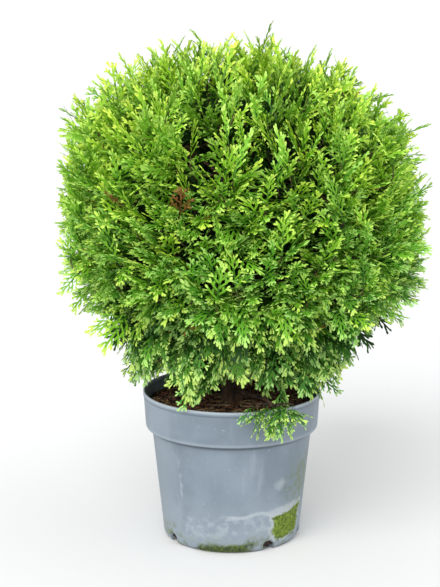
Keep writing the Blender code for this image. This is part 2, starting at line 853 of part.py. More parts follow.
def main():
    clear_scene()
    parts = new_collection("potted_thuja")
    cutters = new_collection("cutters")
    cutters.hide_render = True
    bark = principled("bark", BARK_BROWN, 0.85)
    greens = {ring: principled(f"leaf_{ring}", colour, 0.6) for ring, colour in LEAF_GREENS.items()}
    greens["shade"] = principled("leaf_shade", SHADE_GREEN, 0.8)

    make_pot(parts, principled("pot_plastic", POT_GREY, 0.55))
    make_soil(parts, principled("soil", SOIL_BROWN, 0.95))
    trunk_tube("trunk", 0.0, SOIL_TOP + GAP, parts, bark)
    clearance = helper(trunk_tube("trunk_clearance", GAP, SOIL_TOP - CLEARANCE_SUNK, cutters))
    make_mulch(parts, clearance, principled("mulch", MULCH_BROWN, 0.9))
    make_crown(parts, cutters, clearance, bark, greens)
    make_hanging_sprays(parts, cutters, clearance, bark, greens["lower"])


main()
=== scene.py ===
"""The looks of a globe thuja in a grey nursery pot, grown and finished around its solids.

Metres, +Z up, front towards -Y. The crown follows the rule of its solids, carried to finer twigs and sprays.
"""

import math
import random
from collections import namedtuple

import bmesh
import bpy
import numpy as np
from mathutils import Matrix, Vector
from mathutils.geometry import interpolate_bezier


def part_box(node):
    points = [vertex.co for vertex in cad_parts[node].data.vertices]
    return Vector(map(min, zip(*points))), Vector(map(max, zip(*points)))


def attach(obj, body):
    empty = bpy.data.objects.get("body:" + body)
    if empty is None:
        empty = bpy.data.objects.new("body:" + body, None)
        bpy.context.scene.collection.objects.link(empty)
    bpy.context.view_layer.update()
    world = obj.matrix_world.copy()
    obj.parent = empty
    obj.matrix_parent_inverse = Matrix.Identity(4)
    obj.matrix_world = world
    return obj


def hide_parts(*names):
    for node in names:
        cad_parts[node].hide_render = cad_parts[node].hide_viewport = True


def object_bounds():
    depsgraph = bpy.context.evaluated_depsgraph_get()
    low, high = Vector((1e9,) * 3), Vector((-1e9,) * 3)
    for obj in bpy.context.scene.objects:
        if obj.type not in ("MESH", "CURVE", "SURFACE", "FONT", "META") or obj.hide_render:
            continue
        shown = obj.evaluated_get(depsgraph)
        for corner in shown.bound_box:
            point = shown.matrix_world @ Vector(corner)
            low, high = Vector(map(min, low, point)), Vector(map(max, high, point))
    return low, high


UP = Vector((0.0, 0.0, 1.0))
SEED = 52

# Camera, and the pot's place in its frame
FRAME_WIDTH = 440
FRAME_HEIGHT = 587
POT_AXIS_PIXEL = 232.0
CAMERA_DISTANCE = 1.60
CAMERA_HEIGHT = 0.58
CAMERA_PITCH = 8.4
CAMERA_LENS = 101.0
CAMERA_SHIFT = -0.170
SENSOR = 36.0

# Studio: its floor, and for each light where it comes from, its breadth in degrees and its strength
FLOOR_SIZE = 300.0
FLOOR_DROP = 0.0004
FLOOR_GREY = 0.79
SKY_COLOUR = (0.98, 0.99, 1.0, 1.0)
SKY_STRENGTH = 0.85
LIGHTS = {
    "key": ((-0.45, -1.10, 0.95), 45.0, 2.2),
    "fill": ((0.9, -0.7, 0.7), 90.0, 0.5),
}

# Pot
WALL = 0.0018
COLLAR_HEIGHT = 0.036
COLLAR_FOOT_RADIUS = 0.0857
SHOULDER_RADIUS = 0.0795
SHOULDER_DROP = 0.0025
LIP_BAND = 0.0045
LIP_BAND_STEP = 0.0004
BASE_RADIUS = 0.067
BASE_SPREAD = 0.0006
BASE_ROUND = 0.005
FOOT_WIDTH = 0.010
PAD_RADIUS = 0.030
GROOVE_DEPTH = 0.002
POT_SIDES = 96
SMOOTH_ANGLE = 32.0
DRAINS = 8
DRAIN_FIRST_TURN = -58.0
DRAIN_TILT = 55.0
DRAIN_RADIUS = 0.0040
DRAIN_STRETCH = 1.7
DRAIN_INSET = 0.003
DRAIN_DEPTH = 0.020
DRAIN_SIDES = 20
CHOKED_DRAIN = 1
POT_SHADE = 0.66
SCRAPE_SLOPE = 0.0001

# Moss: for each patch its turns, its heights, how many tufts and the share of bright ones
MOSS_PATCHES = (
    ((37.0, 64.0), (0.0075, 0.0300), 520, 1.0),
    ((-28.0, 13.0), (0.0012, 0.0080), 480, 0.3),
)
MOSS_ROOT = 0.0002
MOSS_REACH = (0.0004, 0.0014)
MOSS_RISE = (-0.0006, 0.0012)
MOSS_RADII = (0.0005, 0.0009)
MOSS_TIP_RADIUS = 0.0001

# Soil, mulch and trunk
SOIL_TOP = 0.129
MULCH_TOP = 0.1340
MULCH_GAP = 0.0004
LUMP_SIZE = 0.008
LUMP_HEIGHT = 0.0035
SHREDS = 1700
SHRED_LENGTHS = (0.005, 0.022)
SHRED_RADII = (0.0003, 0.0011)
SHRED_TILT = 0.10
TRUNK_TOP = 0.345
TRUNK_LEAN = 0.012
TRUNK_RADIUS = 0.0095
TRUNK_TIP_RADIUS = 0.0032
FLARE_RADIUS = 0.0050
FLARE_HEIGHT = 0.012
TRUNK_POINTS = 22
FOOT_CROWDING = 1.2
FURROW_SIZE = 0.006
TRUNK_FURROWS = 0.0016
BOUGH_FURROWS = 0.0006
MERGE_DISTANCE = 0.00001

# Crown and the masses in it. For each ring: how many, their rise and first turn in degrees, the lowest height
# of a bough's foot and the height on the trunk that its end points away from
CROWN_CENTRE = Vector((0.012, 0.0, 0.320))
CROWN_RADIUS = 0.175
CROWN_TOP = 0.172
CROWN_DEPTH = 0.185
CROWN_POWER = 2.4
MASS_LEVEL = 0.62
RINGS = {
    "upper": (5, 42.0, 36.0, 0.262, 0.305),
    "middle": (7, 3.0, 12.0, 0.208, 0.290),
    "lower": (6, -38.0, -14.0, 0.160, 0.190),
}
BOUGH_STEP = 0.005
BOUGH_RADIUS = 0.0034
BOUGH_TIP_RADIUS = 0.0022
BOUGH_POINTS = 12
BOUGH_END = 0.043
BOUGH_BOW = 0.38

# How sprays turn as they grow
OUTWARDS = 0.7
LIFT = 0.6
LIFT_ABOVE = 0.35
LIFT_BELOW = 1.4
SPRAY_LIFT = 0.8
SPRAY_LIFT_RISES = (-0.6, 0.0)
STEEPEST_DROOP = -0.35
UNEVEN = 0.42

# Fronds: a twig from a fork to a spray at its tip, with side sprays on both sides. Levels are shares of the
# way out to the crown's surface. A hollow is a gap, with its middle and its radius
FRONDS = 1150
INNER_FRONDS = ((420, (0.66, 0.82)), (220, (0.36, 0.55)))
HOLLOWS = (
    (0.012, -0.075, 0.160, 0.022),
    (-0.060, -0.055, 0.160, 0.024),
    (0.036, -0.105, 0.206, 0.016),
    (-0.008, -0.135, 0.285, 0.013),
)
LOWEST_FROND = -0.97
FRONT_LEVELS = (0.88, 1.01)
TOP_SPREAD = 0.06
TOP_RISES = (0.0, 0.5)
WAIST = 0.13
WAIST_LEAN = 0.35
WAIST_RISES = (-0.08, -0.50)

# Drooping fronds above the rim: how many in each row, their reach, their heights and the turns left open
SKIRTS = (
    (64, (0.095, 0.108), (0.140, 0.170), ((-60.0, -34.0), (-13.0, 14.0))),
    (56, (0.100, 0.124), (0.172, 0.205), ()),
    (48, (0.062, 0.092), (0.156, 0.172), ((-62.0, -40.0), (-8.0, 14.0))),
    (24, (0.020, 0.060), (0.158, 0.175), ()),
)
SKIRT_DROOP = 0.8
SKIRT_OUTWARDS = 0.45
FORKS = 170
FORK_LEVELS = (0.50, 0.66)
FROND_REACH = 0.05
TIP_SPRAY = (0.034, 0.050)
BRANCH_RADII = (0.0020, 0.0011)
TWIG_RADII = (0.0011, 0.0006)
TOP_ROLL = 1.5
SIDE_ROLL = 0.75
ROLL_CHANGES_ABOVE = 0.6
PLUMES_ABOVE = 0.45
RIM_CLEARANCE = 0.003

# Side sprays: their places along a twig, their turn away from it, and how many of them, or how far out and
# how high they end, to be as full and bright as the spray at the tip
SIDE_PLACES = (0.93, 0.82, 0.70, 0.57, 0.44)
SIDE_TURN = 46.0
OUTER_SIDES = 2
OUTER_LEVEL = 0.88
OUTER_HEIGHT = 0.225

# The tips of single shoots that stand out of the crown, across and up
SHOOT_SPRAY = 0.040
LONG_SHOOTS = (
    (0.034, 0.514),
    (-0.032, 0.508),
    (-0.116, 0.473),
    (0.191, 0.366),
    (0.188, 0.317),
    (0.190, 0.261),
)

# Sprays that hang over the rim at the front: their bough and its crest. Then for each tip, how far across and
# how high it is, and its number of sprays
HANG_BOUGH_HEIGHT = 0.146
HANG_BOUGH_END = (0.026, -0.048, 0.151)
HANG_CREST = (0.040, -0.088, 0.1535)
HANG_BRANCH_RADII = (0.0021, 0.0013)
HANG_TWIG_RADII = (0.0012, 0.0007)
HANG_FAN = 34.0
HANG_FORWARD = -0.101
HANG_TIPS = (
    (0.022, 0.132, 4),
    (0.029, 0.125, 4),
    (0.036, 0.120, 5),
    (0.043, 0.122, 5),
    (0.051, 0.128, 4),
    (0.058, 0.134, 4),
)


def linear(red, green, blue):
    """A colour on a shader's scale, from the 0 to 255 of a picture."""
    scaled = [value / 255.0 for value in (red, green, blue)]
    return tuple(((value + 0.055) / 1.055) ** 2.4 if value > 0.04045 else value / 12.92 for value in scaled)


# Greens of a spray, by its height: for its tips, its branchlets and its axis. They hold painted light and
# shade, lighter at the top and darker lower down.
GREENS = {
    "top": ((206, 234, 98), (146, 192, 46), (82, 128, 28)),
    "upper": ((200, 234, 96), (138, 190, 46), (76, 126, 26)),
    "middle": ((194, 230, 108), (118, 176, 46), (60, 112, 24)),
    "lower": ((190, 223, 120), (80, 137, 40), (32, 75, 16)),
    # Painted shade: the inner greens are darkened for the shaded inside of the crown, on top of the darker
    # green of its older foliage
    "inner": ((52, 96, 23), (33, 69, 14), (17, 38, 8)),
    "dead": ((158, 108, 62), (124, 80, 44), (84, 54, 30)),
}
VARIANTS = {
    "warm": (1.06, 1.02, 0.82),
    "plain": (0.96, 1.0, 0.95),
    "cool": (0.74, 0.90, 1.0),
    "deep": (0.50, 0.62, 0.60),
}
VARIANT_WEIGHTS = (3, 4, 3, 2)
# The heights at which the greens, with their painted light and shade, change in the crown
RING_HEIGHTS = {"top": 0.62, "upper": 0.15, "middle": -0.35, "lower": -math.inf}
RING_BLUR = 0.25
DEAD_SHARE = 0.003
LEAF_ROUGHNESS = 0.55
LEAF_GLOSS = 0.25
TONES = ("tip", "middle", "axis")
TIP, MIDDLE, AXIS = range(len(TONES))

# Shreds of bark in the mulch: the darkest and lightest of each kind
SHRED_TONES = {
    "dark": ((34, 22, 15), (70, 48, 34)),
    "brown": ((76, 48, 32), (116, 78, 54)),
    "red": ((112, 62, 40), (160, 98, 66)),
    "straw": ((140, 112, 80), (186, 160, 120)),
}


class Signal:
    """A value that changes over a surface. Sums and products of it add the nodes that work them out."""

    def __init__(self, graph, socket):
        self.graph = graph
        self.socket = socket

    def __add__(self, other):
        return self.graph.maths("ADD", self, other)

    def __radd__(self, other):
        return self.graph.maths("ADD", other, self)

    def __sub__(self, other):
        return self.graph.maths("SUBTRACT", self, other)

    def __rsub__(self, other):
        return self.graph.maths("SUBTRACT", other, self)

    def __mul__(self, other):
        return self.graph.maths("MULTIPLY", self, other)

    def __rmul__(self, other):
        return self.graph.maths("MULTIPLY", other, self)

    def larger(self, other):
        return self.graph.maths("MAXIMUM", self, other)

    def steps(self, low, high):
        """0 under low, 1 over high, and smooth between them. Low may be the larger one."""
        limits = {"Value": self, "From Min": low, "From Max": high}
        return self.graph.node("ShaderNodeMapRange", {"interpolation_type": "SMOOTHSTEP"}, limits)


class Graph:
    """A material's nodes, ending in one Principled shader."""

    def __init__(self, name, colour, roughness):
        self.material = bpy.data.materials.new(name)
        self.material.use_nodes = True
        self.tree = self.material.node_tree
        self.shader = self.tree.nodes["Principled BSDF"]
        self.feed("Base Color", (*colour, 1.0))
        self.feed("Roughness", roughness)
        self.place = self.node("ShaderNodeTexCoord", {}, {}, "Object")

    def node(self, kind, settings, inputs, output=0):
        """Adds a node: its settings first, then the values or links of its sockets. Gives one output."""
        made = self.tree.nodes.new(kind)
        for name, value in settings.items():
            setattr(made, name, value)
        for name, value in inputs.items():
            self.join(made.inputs[name], value)
        return Signal(self, made.outputs[output])

    def maths(self, operation, *values):
        return self.node("ShaderNodeMath", {"operation": operation}, dict(enumerate(values)))

    def join(self, socket, value):
        if isinstance(value, Signal):
            self.tree.links.new(value.socket, socket)
        else:
            socket.default_value = value

    def feed(self, name, value):
        self.join(self.shader.inputs[name], value)

    def mixed(self, share, first, second):
        """A colour between two, by a share. The numbers are the Mix node's colour sockets."""
        first, second = (value if isinstance(value, Signal) else (*value, 1.0) for value in (first, second))
        return self.node("ShaderNodeMix", {"data_type": "RGBA"}, {0: share, 6: first, 7: second}, 2)

    def stretched(self, scale):
        """The place on the object, stretched along each axis."""
        return self.node("ShaderNodeMapping", {}, {"Vector": self.place, "Scale": scale})

    def noise(self, scale, detail, place=None):
        inputs = {"Vector": place or self.place, "Scale": scale, "Detail": detail}
        return self.node("ShaderNodeTexNoise", {}, inputs)

    def bump(self, height, strength, distance):
        made = self.node("ShaderNodeBump", {}, {"Height": height, "Strength": strength, "Distance": distance})
        self.feed("Normal", made)


# Making and finishing pieces


def deselect():
    bpy.ops.object.select_all(action="DESELECT")


def named(name):
    """The object that an operator has just made, under its own name."""
    piece = bpy.context.object
    piece.name = name
    piece.data.name = name
    return piece


def apply_place():
    bpy.ops.object.transform_apply(location=True, rotation=True, scale=True)


def apply_all(piece):
    bpy.context.view_layer.objects.active = piece
    for modifier in list(piece.modifiers):
        bpy.ops.object.modifier_apply(modifier=modifier.name)


def hand_over(piece, material, slot, *nodes):
    """Gives a finished piece its material and its place in the part."""
    if material:
        piece.data.materials.clear()
        piece.data.materials.append(material)
    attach(piece, "root")
    if nodes:
        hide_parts(*nodes)


def pick_faces(piece, wanted):
    """In edit mode, selects just the faces that a test on their middle and normal wants."""
    bpy.ops.mesh.select_all(action="DESELECT")
    bpy.ops.mesh.select_mode(type="FACE")
    shape = bmesh.from_edit_mesh(piece.data)
    for face in shape.faces:
        face.select_set(wanted(face.calc_center_median(), face.normal))
    bmesh.update_edit_mesh(piece.data)


def mesh_of(name, corners, triangles, materials, tones):
    """A mesh from arrays: its corners, its triangles, and the material number of each triangle."""
    mesh = bpy.data.meshes.new(name)
    mesh.vertices.add(len(corners))
    mesh.vertices.foreach_set("co", corners.astype(np.float32).ravel())
    mesh.loops.add(triangles.size)
    mesh.loops.foreach_set("vertex_index", triangles.astype(np.int32).ravel())
    mesh.polygons.add(len(triangles))
    mesh.polygons.foreach_set("loop_start", np.arange(0, triangles.size, 3, dtype=np.int32))
    for material in materials:
        mesh.materials.append(material)
    mesh.polygons.foreach_set("material_index", tones.astype(np.int32))
    mesh.update(calc_edges=True)
    piece = bpy.data.objects.new(name, mesh)
    bpy.context.scene.collection.objects.link(piece)
    return piece


# Pot


def round_the_pot(turn, radius, height):
    """The point at a turn in degrees from the front, by way of the right."""
    angle = math.radians(turn)
    return Vector((radius * math.sin(angle), -radius * math.cos(angle), height))


def filleted(corners, steps=5):
    """A turned profile whose corners, each a radius, a height and a fillet, are rounded."""
    points = []
    last = len(corners) - 1
    for index, (radius, height, fillet) in enumerate(corners):
        corner = Vector((radius, height, 0.0))
        if fillet == 0.0 or index in (0, last):
            points.append(corner)
            continue
        before = Vector((*corners[index - 1][:2], 0.0))
        after = Vector((*corners[index + 1][:2], 0.0))
        start = corner + (before - corner).normalized() * fillet
        end = corner + (after - corner).normalized() * fillet
        points += interpolate_bezier(start, start.lerp(corner, 0.6), end.lerp(corner, 0.6), end, steps)
    return [(point.x, point.y) for point in points]


def lathe(name, profile, sides):
    """A turned piece: a circle drawn from ring to ring along its profile, then closed at both ends."""
    deselect()
    radius, height = profile[0]
    bpy.ops.mesh.primitive_circle_add(vertices=sides, radius=radius, location=(0.0, 0.0, height))
    apply_place()
    piece = named(name)
    bpy.ops.object.mode_set(mode="EDIT")
    bpy.ops.mesh.select_all(action="SELECT")
    bpy.ops.mesh.edge_face_add()
    for (old, low), (new, high) in zip(profile, profile[1:]):
        bpy.ops.mesh.extrude_region_move(TRANSFORM_OT_translate={"value": (0.0, 0.0, high - low)})
        bpy.ops.transform.resize(value=(new / old, new / old, 1.0), center_override=(0.0, 0.0, high))
    bpy.ops.mesh.select_all(action="DESELECT")
    bpy.ops.mesh.select_mode(type="VERT")
    shape = bmesh.from_edit_mesh(piece.data)
    for edge in shape.edges:
        edge.select_set(edge.is_boundary)
    bmesh.update_edit_mesh(piece.data)
    bpy.ops.mesh.edge_face_add()
    bpy.ops.mesh.select_all(action="SELECT")
    bpy.ops.mesh.normals_make_consistent(inside=False)
    bpy.ops.object.mode_set(mode="OBJECT")
    return piece


def pot_profile(rim_radius, pot_height):
    """From the pad under the pot, over its foot, wall and lip, and down the inside to its floor."""
    collar_foot = pot_height - COLLAR_HEIGHT
    shoulder = collar_foot - SHOULDER_DROP
    band_foot = pot_height - LIP_BAND
    foot_radius = BASE_RADIUS + BASE_SPREAD
    inner_foot = foot_radius - BASE_ROUND - FOOT_WIDTH
    floor_top = GROOVE_DEPTH + WALL
    return filleted([
        (PAD_RADIUS, 0.0, 0.0),
        (PAD_RADIUS + GROOVE_DEPTH, GROOVE_DEPTH, 0.0005),
        (inner_foot - GROOVE_DEPTH, GROOVE_DEPTH, 0.0005),
        (inner_foot, 0.0, 0.0005),
        (foot_radius, 0.0, BASE_ROUND),
        (SHOULDER_RADIUS, shoulder, 0.0010),
        (COLLAR_FOOT_RADIUS, collar_foot, 0.0016),
        (rim_radius - LIP_BAND_STEP - 0.0003, band_foot - 0.0008, 0.0004),
        (rim_radius - 0.0001, band_foot, 0.0004),
        (rim_radius, pot_height, 0.0008),
        (rim_radius - WALL, pot_height, 0.0008),
        (COLLAR_FOOT_RADIUS - WALL, collar_foot + WALL, 0.0010),
        (SHOULDER_RADIUS - WALL, shoulder + WALL, 0.0010),
        (BASE_RADIUS - WALL, floor_top, 0.0030),
        (PAD_RADIUS, floor_top, 0.0),
    ])


def cut_drain(pot, turn):
    """An oval drain through the pot's base corner."""
    place = round_the_pot(turn, BASE_RADIUS - DRAIN_INSET, BASE_ROUND / 2)
    tilt = Matrix.Rotation(math.radians(turn), 3, "Z") @ Matrix.Rotation(math.radians(DRAIN_TILT), 3, "X")
    deselect()
    bpy.ops.mesh.primitive_cylinder_add(
        vertices=DRAIN_SIDES, radius=DRAIN_RADIUS, depth=DRAIN_DEPTH, location=place, rotation=tilt.to_euler()
    )
    drain = named("drain")
    bpy.ops.transform.resize(value=(DRAIN_STRETCH, 1.0, 1.0), orient_type="LOCAL", center_override=place)
    cut = pot.modifiers.new("drain", "BOOLEAN")
    cut.operation = "DIFFERENCE"
    cut.solver = "EXACT"
    cut.object = drain
    apply_all(pot)
    bpy.data.objects.remove(drain, do_unlink=True)


def make_pot(material):
    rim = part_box("pot")[1]
    pot = lathe("nursery_pot", pot_profile(rim.x, rim.z), POT_SIDES)
    for index in range(DRAINS):
        if index != CHOKED_DRAIN:
            cut_drain(pot, DRAIN_FIRST_TURN + index * 360.0 / DRAINS)
    deselect()
    pot.select_set(True)
    bpy.ops.object.shade_smooth_by_angle(angle=math.radians(SMOOTH_ANGLE))
    hand_over(pot, material, "pot_plastic", "pot")


def wall_radius(height, pot_height):
    """The pot's outer radius at a height under its shoulder, less where its base corner is rounded."""
    slope = (SHOULDER_RADIUS - BASE_RADIUS) / (pot_height - COLLAR_HEIGHT)
    return BASE_RADIUS + slope * height - max(0.0, BASE_ROUND - height) ** 2 / (2 * BASE_ROUND)


def make_moss(materials):
    """Short tufts of moss, standing off the wall in its two patches. The one at the front chokes a drain."""
    chance = random.Random(SEED + 4)
    pot_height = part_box("pot")[1].z
    parts = []
    numbers = []
    for turns, heights, count, bright_share in MOSS_PATCHES:
        for _ in range(count):
            turn = chance.uniform(*turns)
            height = chance.uniform(*heights)
            wall = wall_radius(height, pot_height)
            root = round_the_pot(turn, wall - MOSS_ROOT, height)
            tip_turn = turn + chance.uniform(-1.0, 1.0)
            tip = round_the_pot(tip_turn, wall + chance.uniform(*MOSS_REACH), height)
            tip.z = max(0.0, tip.z + chance.uniform(*MOSS_RISE))
            path = [root, root.lerp(tip, 0.6), tip]
            part = tube_arrays(path, chance.uniform(*MOSS_RADII), MOSS_TIP_RADIUS, 3)
            bright = bright_share == 1.0 or chance.random() < bright_share
            parts.append(part)
            numbers.append(np.full(len(part[1]), 0 if bright else 1))
    corners, triangles = joined(parts)
    corners[:, 2] = np.maximum(corners[:, 2], 0.0)
    piece = mesh_of("moss_tufts", corners, triangles, materials, np.concatenate(numbers))
    hand_over(piece, None, "leaf_lower")


# Trunk and boughs


def trunk_axis(height):
    share = (height - SOIL_TOP) / (TRUNK_TOP - SOIL_TOP)
    return Vector((TRUNK_LEAN * share * share * (3.0 - 2.0 * share), 0.0, height))


def trunk_radius(height):
    share = (height - SOIL_TOP) / (TRUNK_TOP - SOIL_TOP)
    flare = FLARE_RADIUS * math.exp(-(height - SOIL_TOP) / FLARE_HEIGHT)
    return TRUNK_RADIUS + (TRUNK_TIP_RADIUS - TRUNK_RADIUS) * share + flare


def limb(name, points, radii, roundness, relief):
    """A tapering limb with furrowed bark: a bevelled curve, made a mesh and pushed in and out."""
    deselect()
    bpy.ops.curve.primitive_nurbs_path_add()
    piece = named(name)
    curve = piece.data
    curve.splines.clear()
    spline = curve.splines.new("POLY")
    spline.points.add(len(points) - 1)
    for knot, point, radius in zip(spline.points, points, radii):
        knot.co = (*point, 1.0)
        knot.radius = radius - relief / 2
    curve.dimensions = "3D"
    curve.bevel_depth = 1.0
    curve.bevel_resolution = roundness
    curve.use_fill_caps = True
    bpy.ops.object.convert(target="MESH")
    piece = bpy.context.object
    weld = piece.modifiers.new("weld", "WELD")
    weld.merge_threshold = MERGE_DISTANCE
    furrows = piece.modifiers.new("furrows", "DISPLACE")
    furrows.texture = bpy.data.textures.new("furrows", "STUCCI")
    furrows.texture.noise_scale = FURROW_SIZE
    furrows.strength = relief
    furrows.mid_level = 0.5
    apply_all(piece)
    bpy.ops.object.shade_smooth()
    return piece


def along_trunk():
    """Points up the trunk, closer at its flared foot, and its radius at each."""
    points = []
    radii = []
    for index in range(TRUNK_POINTS):
        height = SOIL_TOP + (TRUNK_TOP - SOIL_TOP) * (index / (TRUNK_POINTS - 1)) ** FOOT_CROWDING
        points.append(trunk_axis(height))
        radii.append(trunk_radius(height))
    return points, radii


def bough_path(name, places):
    """A curve out and up from the trunk, into the bough's mass."""
    middle, heading = places[name]
    ring, number = name.split("_")
    _, _, _, foot_height, aim_height = RINGS[ring]
    start = trunk_axis(foot_height + (int(number) - 1) * BOUGH_STEP)
    aim = trunk_axis(aim_height)
    out = Vector((heading.x, heading.y, 0.0)).normalized()
    end = aim.lerp(middle, BOUGH_END / (middle - aim).dot(out))
    bow = (end - start).length * BOUGH_BOW
    first_bend = start + (out + UP).normalized() * bow
    last_bend = end - (middle - aim).normalized() * bow
    return interpolate_bezier(start, first_bend, last_bend, end, BOUGH_POINTS)


def bough_radii(count):
    slimming = BOUGH_TIP_RADIUS - BOUGH_RADIUS
    return [BOUGH_RADIUS + slimming * index / (count - 1) for index in range(count)]


def make_bough(name, path, material):
    piece = limb(f"bark_{name}", path, bough_radii(len(path)), 3, BOUGH_FURROWS)
    hand_over(piece, material, "bark", f"bough_{name}")


def make_limbs(places, material):
    points, radii = along_trunk()
    hand_over(limb("trunk_bark", points, radii, 8, TRUNK_FURROWS), material, "bark", "trunk")
    for name in places:
        if name != "top":
            make_bough(name, bough_path(name, places), material)
    start = trunk_axis(HANG_BOUGH_HEIGHT)
    end = Vector(HANG_BOUGH_END)
    path = [start.lerp(end, index / (BOUGH_POINTS - 1)) for index in range(BOUGH_POINTS)]
    make_bough("hanging_front", path, material)


# Crown


def level(point):
    """How far out a point lies in the crown: 0 at its middle, 1 at its surface."""
    away = point - CROWN_CENTRE
    tall = CROWN_TOP if away.z > 0 else CROWN_DEPTH
    across = math.hypot(away.x, away.y) / CROWN_RADIUS
    return (across**CROWN_POWER + (abs(away.z) / tall) ** CROWN_POWER) ** (1.0 / CROWN_POWER)


def on_level(heading, wanted):
    """The point out from the crown's middle at a level."""
    return CROWN_CENTRE + heading * wanted / level(CROWN_CENTRE + heading)


def between(value, first, last):
    """0 up to the first value, 1 from the last one on, and even between them."""
    return min(1.0, max(0.0, (value - first) / (last - first)))


def scattered(amount, chance):
    """A small step in any direction."""
    return Vector([chance.uniform(-amount, amount) for _ in range(3)])


def growth(point):
    """The heading in which sprays grow: up at the top, outwards half way, drooping below."""
    out = (point - CROWN_CENTRE).normalized()
    slope = LIFT_ABOVE if out.z > 0 else LIFT_BELOW
    rise = max(LIFT + slope * out.z, STEEPEST_DROOP) + SPRAY_LIFT * between(out.z, *SPRAY_LIFT_RISES)
    return (out * OUTWARDS + UP * rise).normalized()


def mass_places():
    """Each mass of the crown, by name: the middle of its space and its outward heading."""
    places = {"top": (CROWN_CENTRE + UP * CROWN_TOP * MASS_LEVEL, UP)}
    for ring, (count, rise, first_turn, _, _) in RINGS.items():
        for index in range(count):
            flat = math.cos(math.radians(rise))
            heading = round_the_pot(first_turn + index * 360.0 / count, flat, math.sin(math.radians(rise)))
            places[f"{ring}_{index + 1}"] = (on_level(heading, MASS_LEVEL), heading)
    return places


def waist(heading):
    """How far the crown reaches, as a share: less where it draws in above the pot, more at its top left."""
    drawn_in = WAIST * (1.0 - WAIST_LEAN * heading.x) * between(heading.z, *WAIST_RISES)
    return 1.0 - drawn_in + TOP_SPREAD * (1.0 - heading.x) * between(heading.z, *TOP_RISES)


def nearest(point, spots):
    return min(spots, key=lambda spot: (spot - point).length_squared)


def spread_headings(count, lowest, scatter, chance):
    """Headings spread evenly from low on the underside to the top."""
    golden = math.pi * (3.0 - math.sqrt(5.0))
    headings = []
    for index in range(count):
        rise = 1.0 - (1.0 - lowest) * (index + 0.5) / count
        flat = math.sqrt(1.0 - rise * rise)
        heading = Vector((flat * math.cos(golden * index), flat * math.sin(golden * index), rise))
        headings.append((heading + scattered(scatter, chance)).normalized())
    return headings


# The shapes of sprays

# A style has a length, a reach of its longest branchlets, their turn at its foot and at its tip, the way from
# one to the next, and whether they carry lobes
Style = namedtuple("Style", "length spread foot_turn tip_turn gap lobed")
STYLES = {
    "fan": Style(0.046, 0.0190, 52.0, 34.0, 0.0044, True),
    "plume": Style(0.052, 0.0115, 36.0, 22.0, 0.0054, True),
    "inner": Style(0.044, 0.0190, 52.0, 36.0, 0.0052, False),
}
KINDS_OF_EACH = 10
AXIS_SWAY = 0.10
AXIS_FOOT_WIDTHS = (0.0015, 0.0018, 0.0019, 0.0020)
AXIS_TIP_WIDTHS = (0.0020, 0.0020, 0.0018)
FIRST_BRANCHLET = 0.12
LAST_BRANCHLET = 0.92
SHORTEST_BRANCHLET = 0.0042
BRANCHLET_WIDTHS = (0.0015, 0.0019, 0.0019)
PLAIN_BRANCHLET_WIDTHS = (0.0018, 0.0024, 0.0022)
BRANCHLET_KNEE = 0.45
BRANCHLET_END = 0.36
LEAST_REACH_FOR_LOBES = 0.0065
LOBE_GAP = 0.0043
LOBE_WIDTH = 0.0020
TIP_LOBE_WIDTH = 0.0022
PLAIN_LOBE_WIDTH = 0.0026
MOST_BEND = 0.35


class Spray:
    """A flat spray, with its root at the origin and its length along Y."""

    def __init__(self):
        self.corners = []
        self.triangles = []
        self.tones = []

    def polygon(self, points, lifts, tone):
        first = len(self.corners)
        self.corners += [(point.real, point.imag, lift) for point, lift in zip(points, lifts)]
        for index in range(1, len(points) - 1):
            self.triangles.append((first, first + index, first + index + 1))
            self.tones.append(tone)

    def strip(self, line, widths, lift, tone):
        """A ribbon along a line of points, as wide at each as its widths say."""
        sides = []
        for index, (point, width) in enumerate(zip(line, widths)):
            ahead = line[min(index + 1, len(line) - 1)] - line[max(index - 1, 0)]
            side = ahead / abs(ahead) * 1j * width / 2
            sides.append((point - side, point + side))
        for near, far in zip(sides, sides[1:]):
            self.polygon([near[0], far[0], far[1], near[1]], [lift] * 4, tone)

    def lobe(self, root, ahead, length, width, lift, tilt, tone):
        """A blunt tip of scale leaves."""
        side = ahead * 1j * width / 2
        shoulder = root + ahead * length * 0.70
        end = root + ahead * length
        points = [root - side * 0.6, shoulder - side, end, shoulder + side, root + side * 0.6]
        self.polygon(points, [lift - tilt, lift - tilt, lift, lift + tilt, lift + tilt], tone)

    def bent(self, droop, cup, length, spread):
        """The finished arrays, bent down along the spray and at both sides."""
        corners = np.array(self.corners)
        corners[:, 2] -= droop * corners[:, 1] ** 2 / length + cup * corners[:, 0] ** 2 / spread
        return corners, np.array(self.triangles), np.array(self.tones)


def turned(angle):
    """A flat direction at an angle in degrees from straight ahead, as a complex number."""
    return complex(math.sin(math.radians(angle)), math.cos(math.radians(angle)))


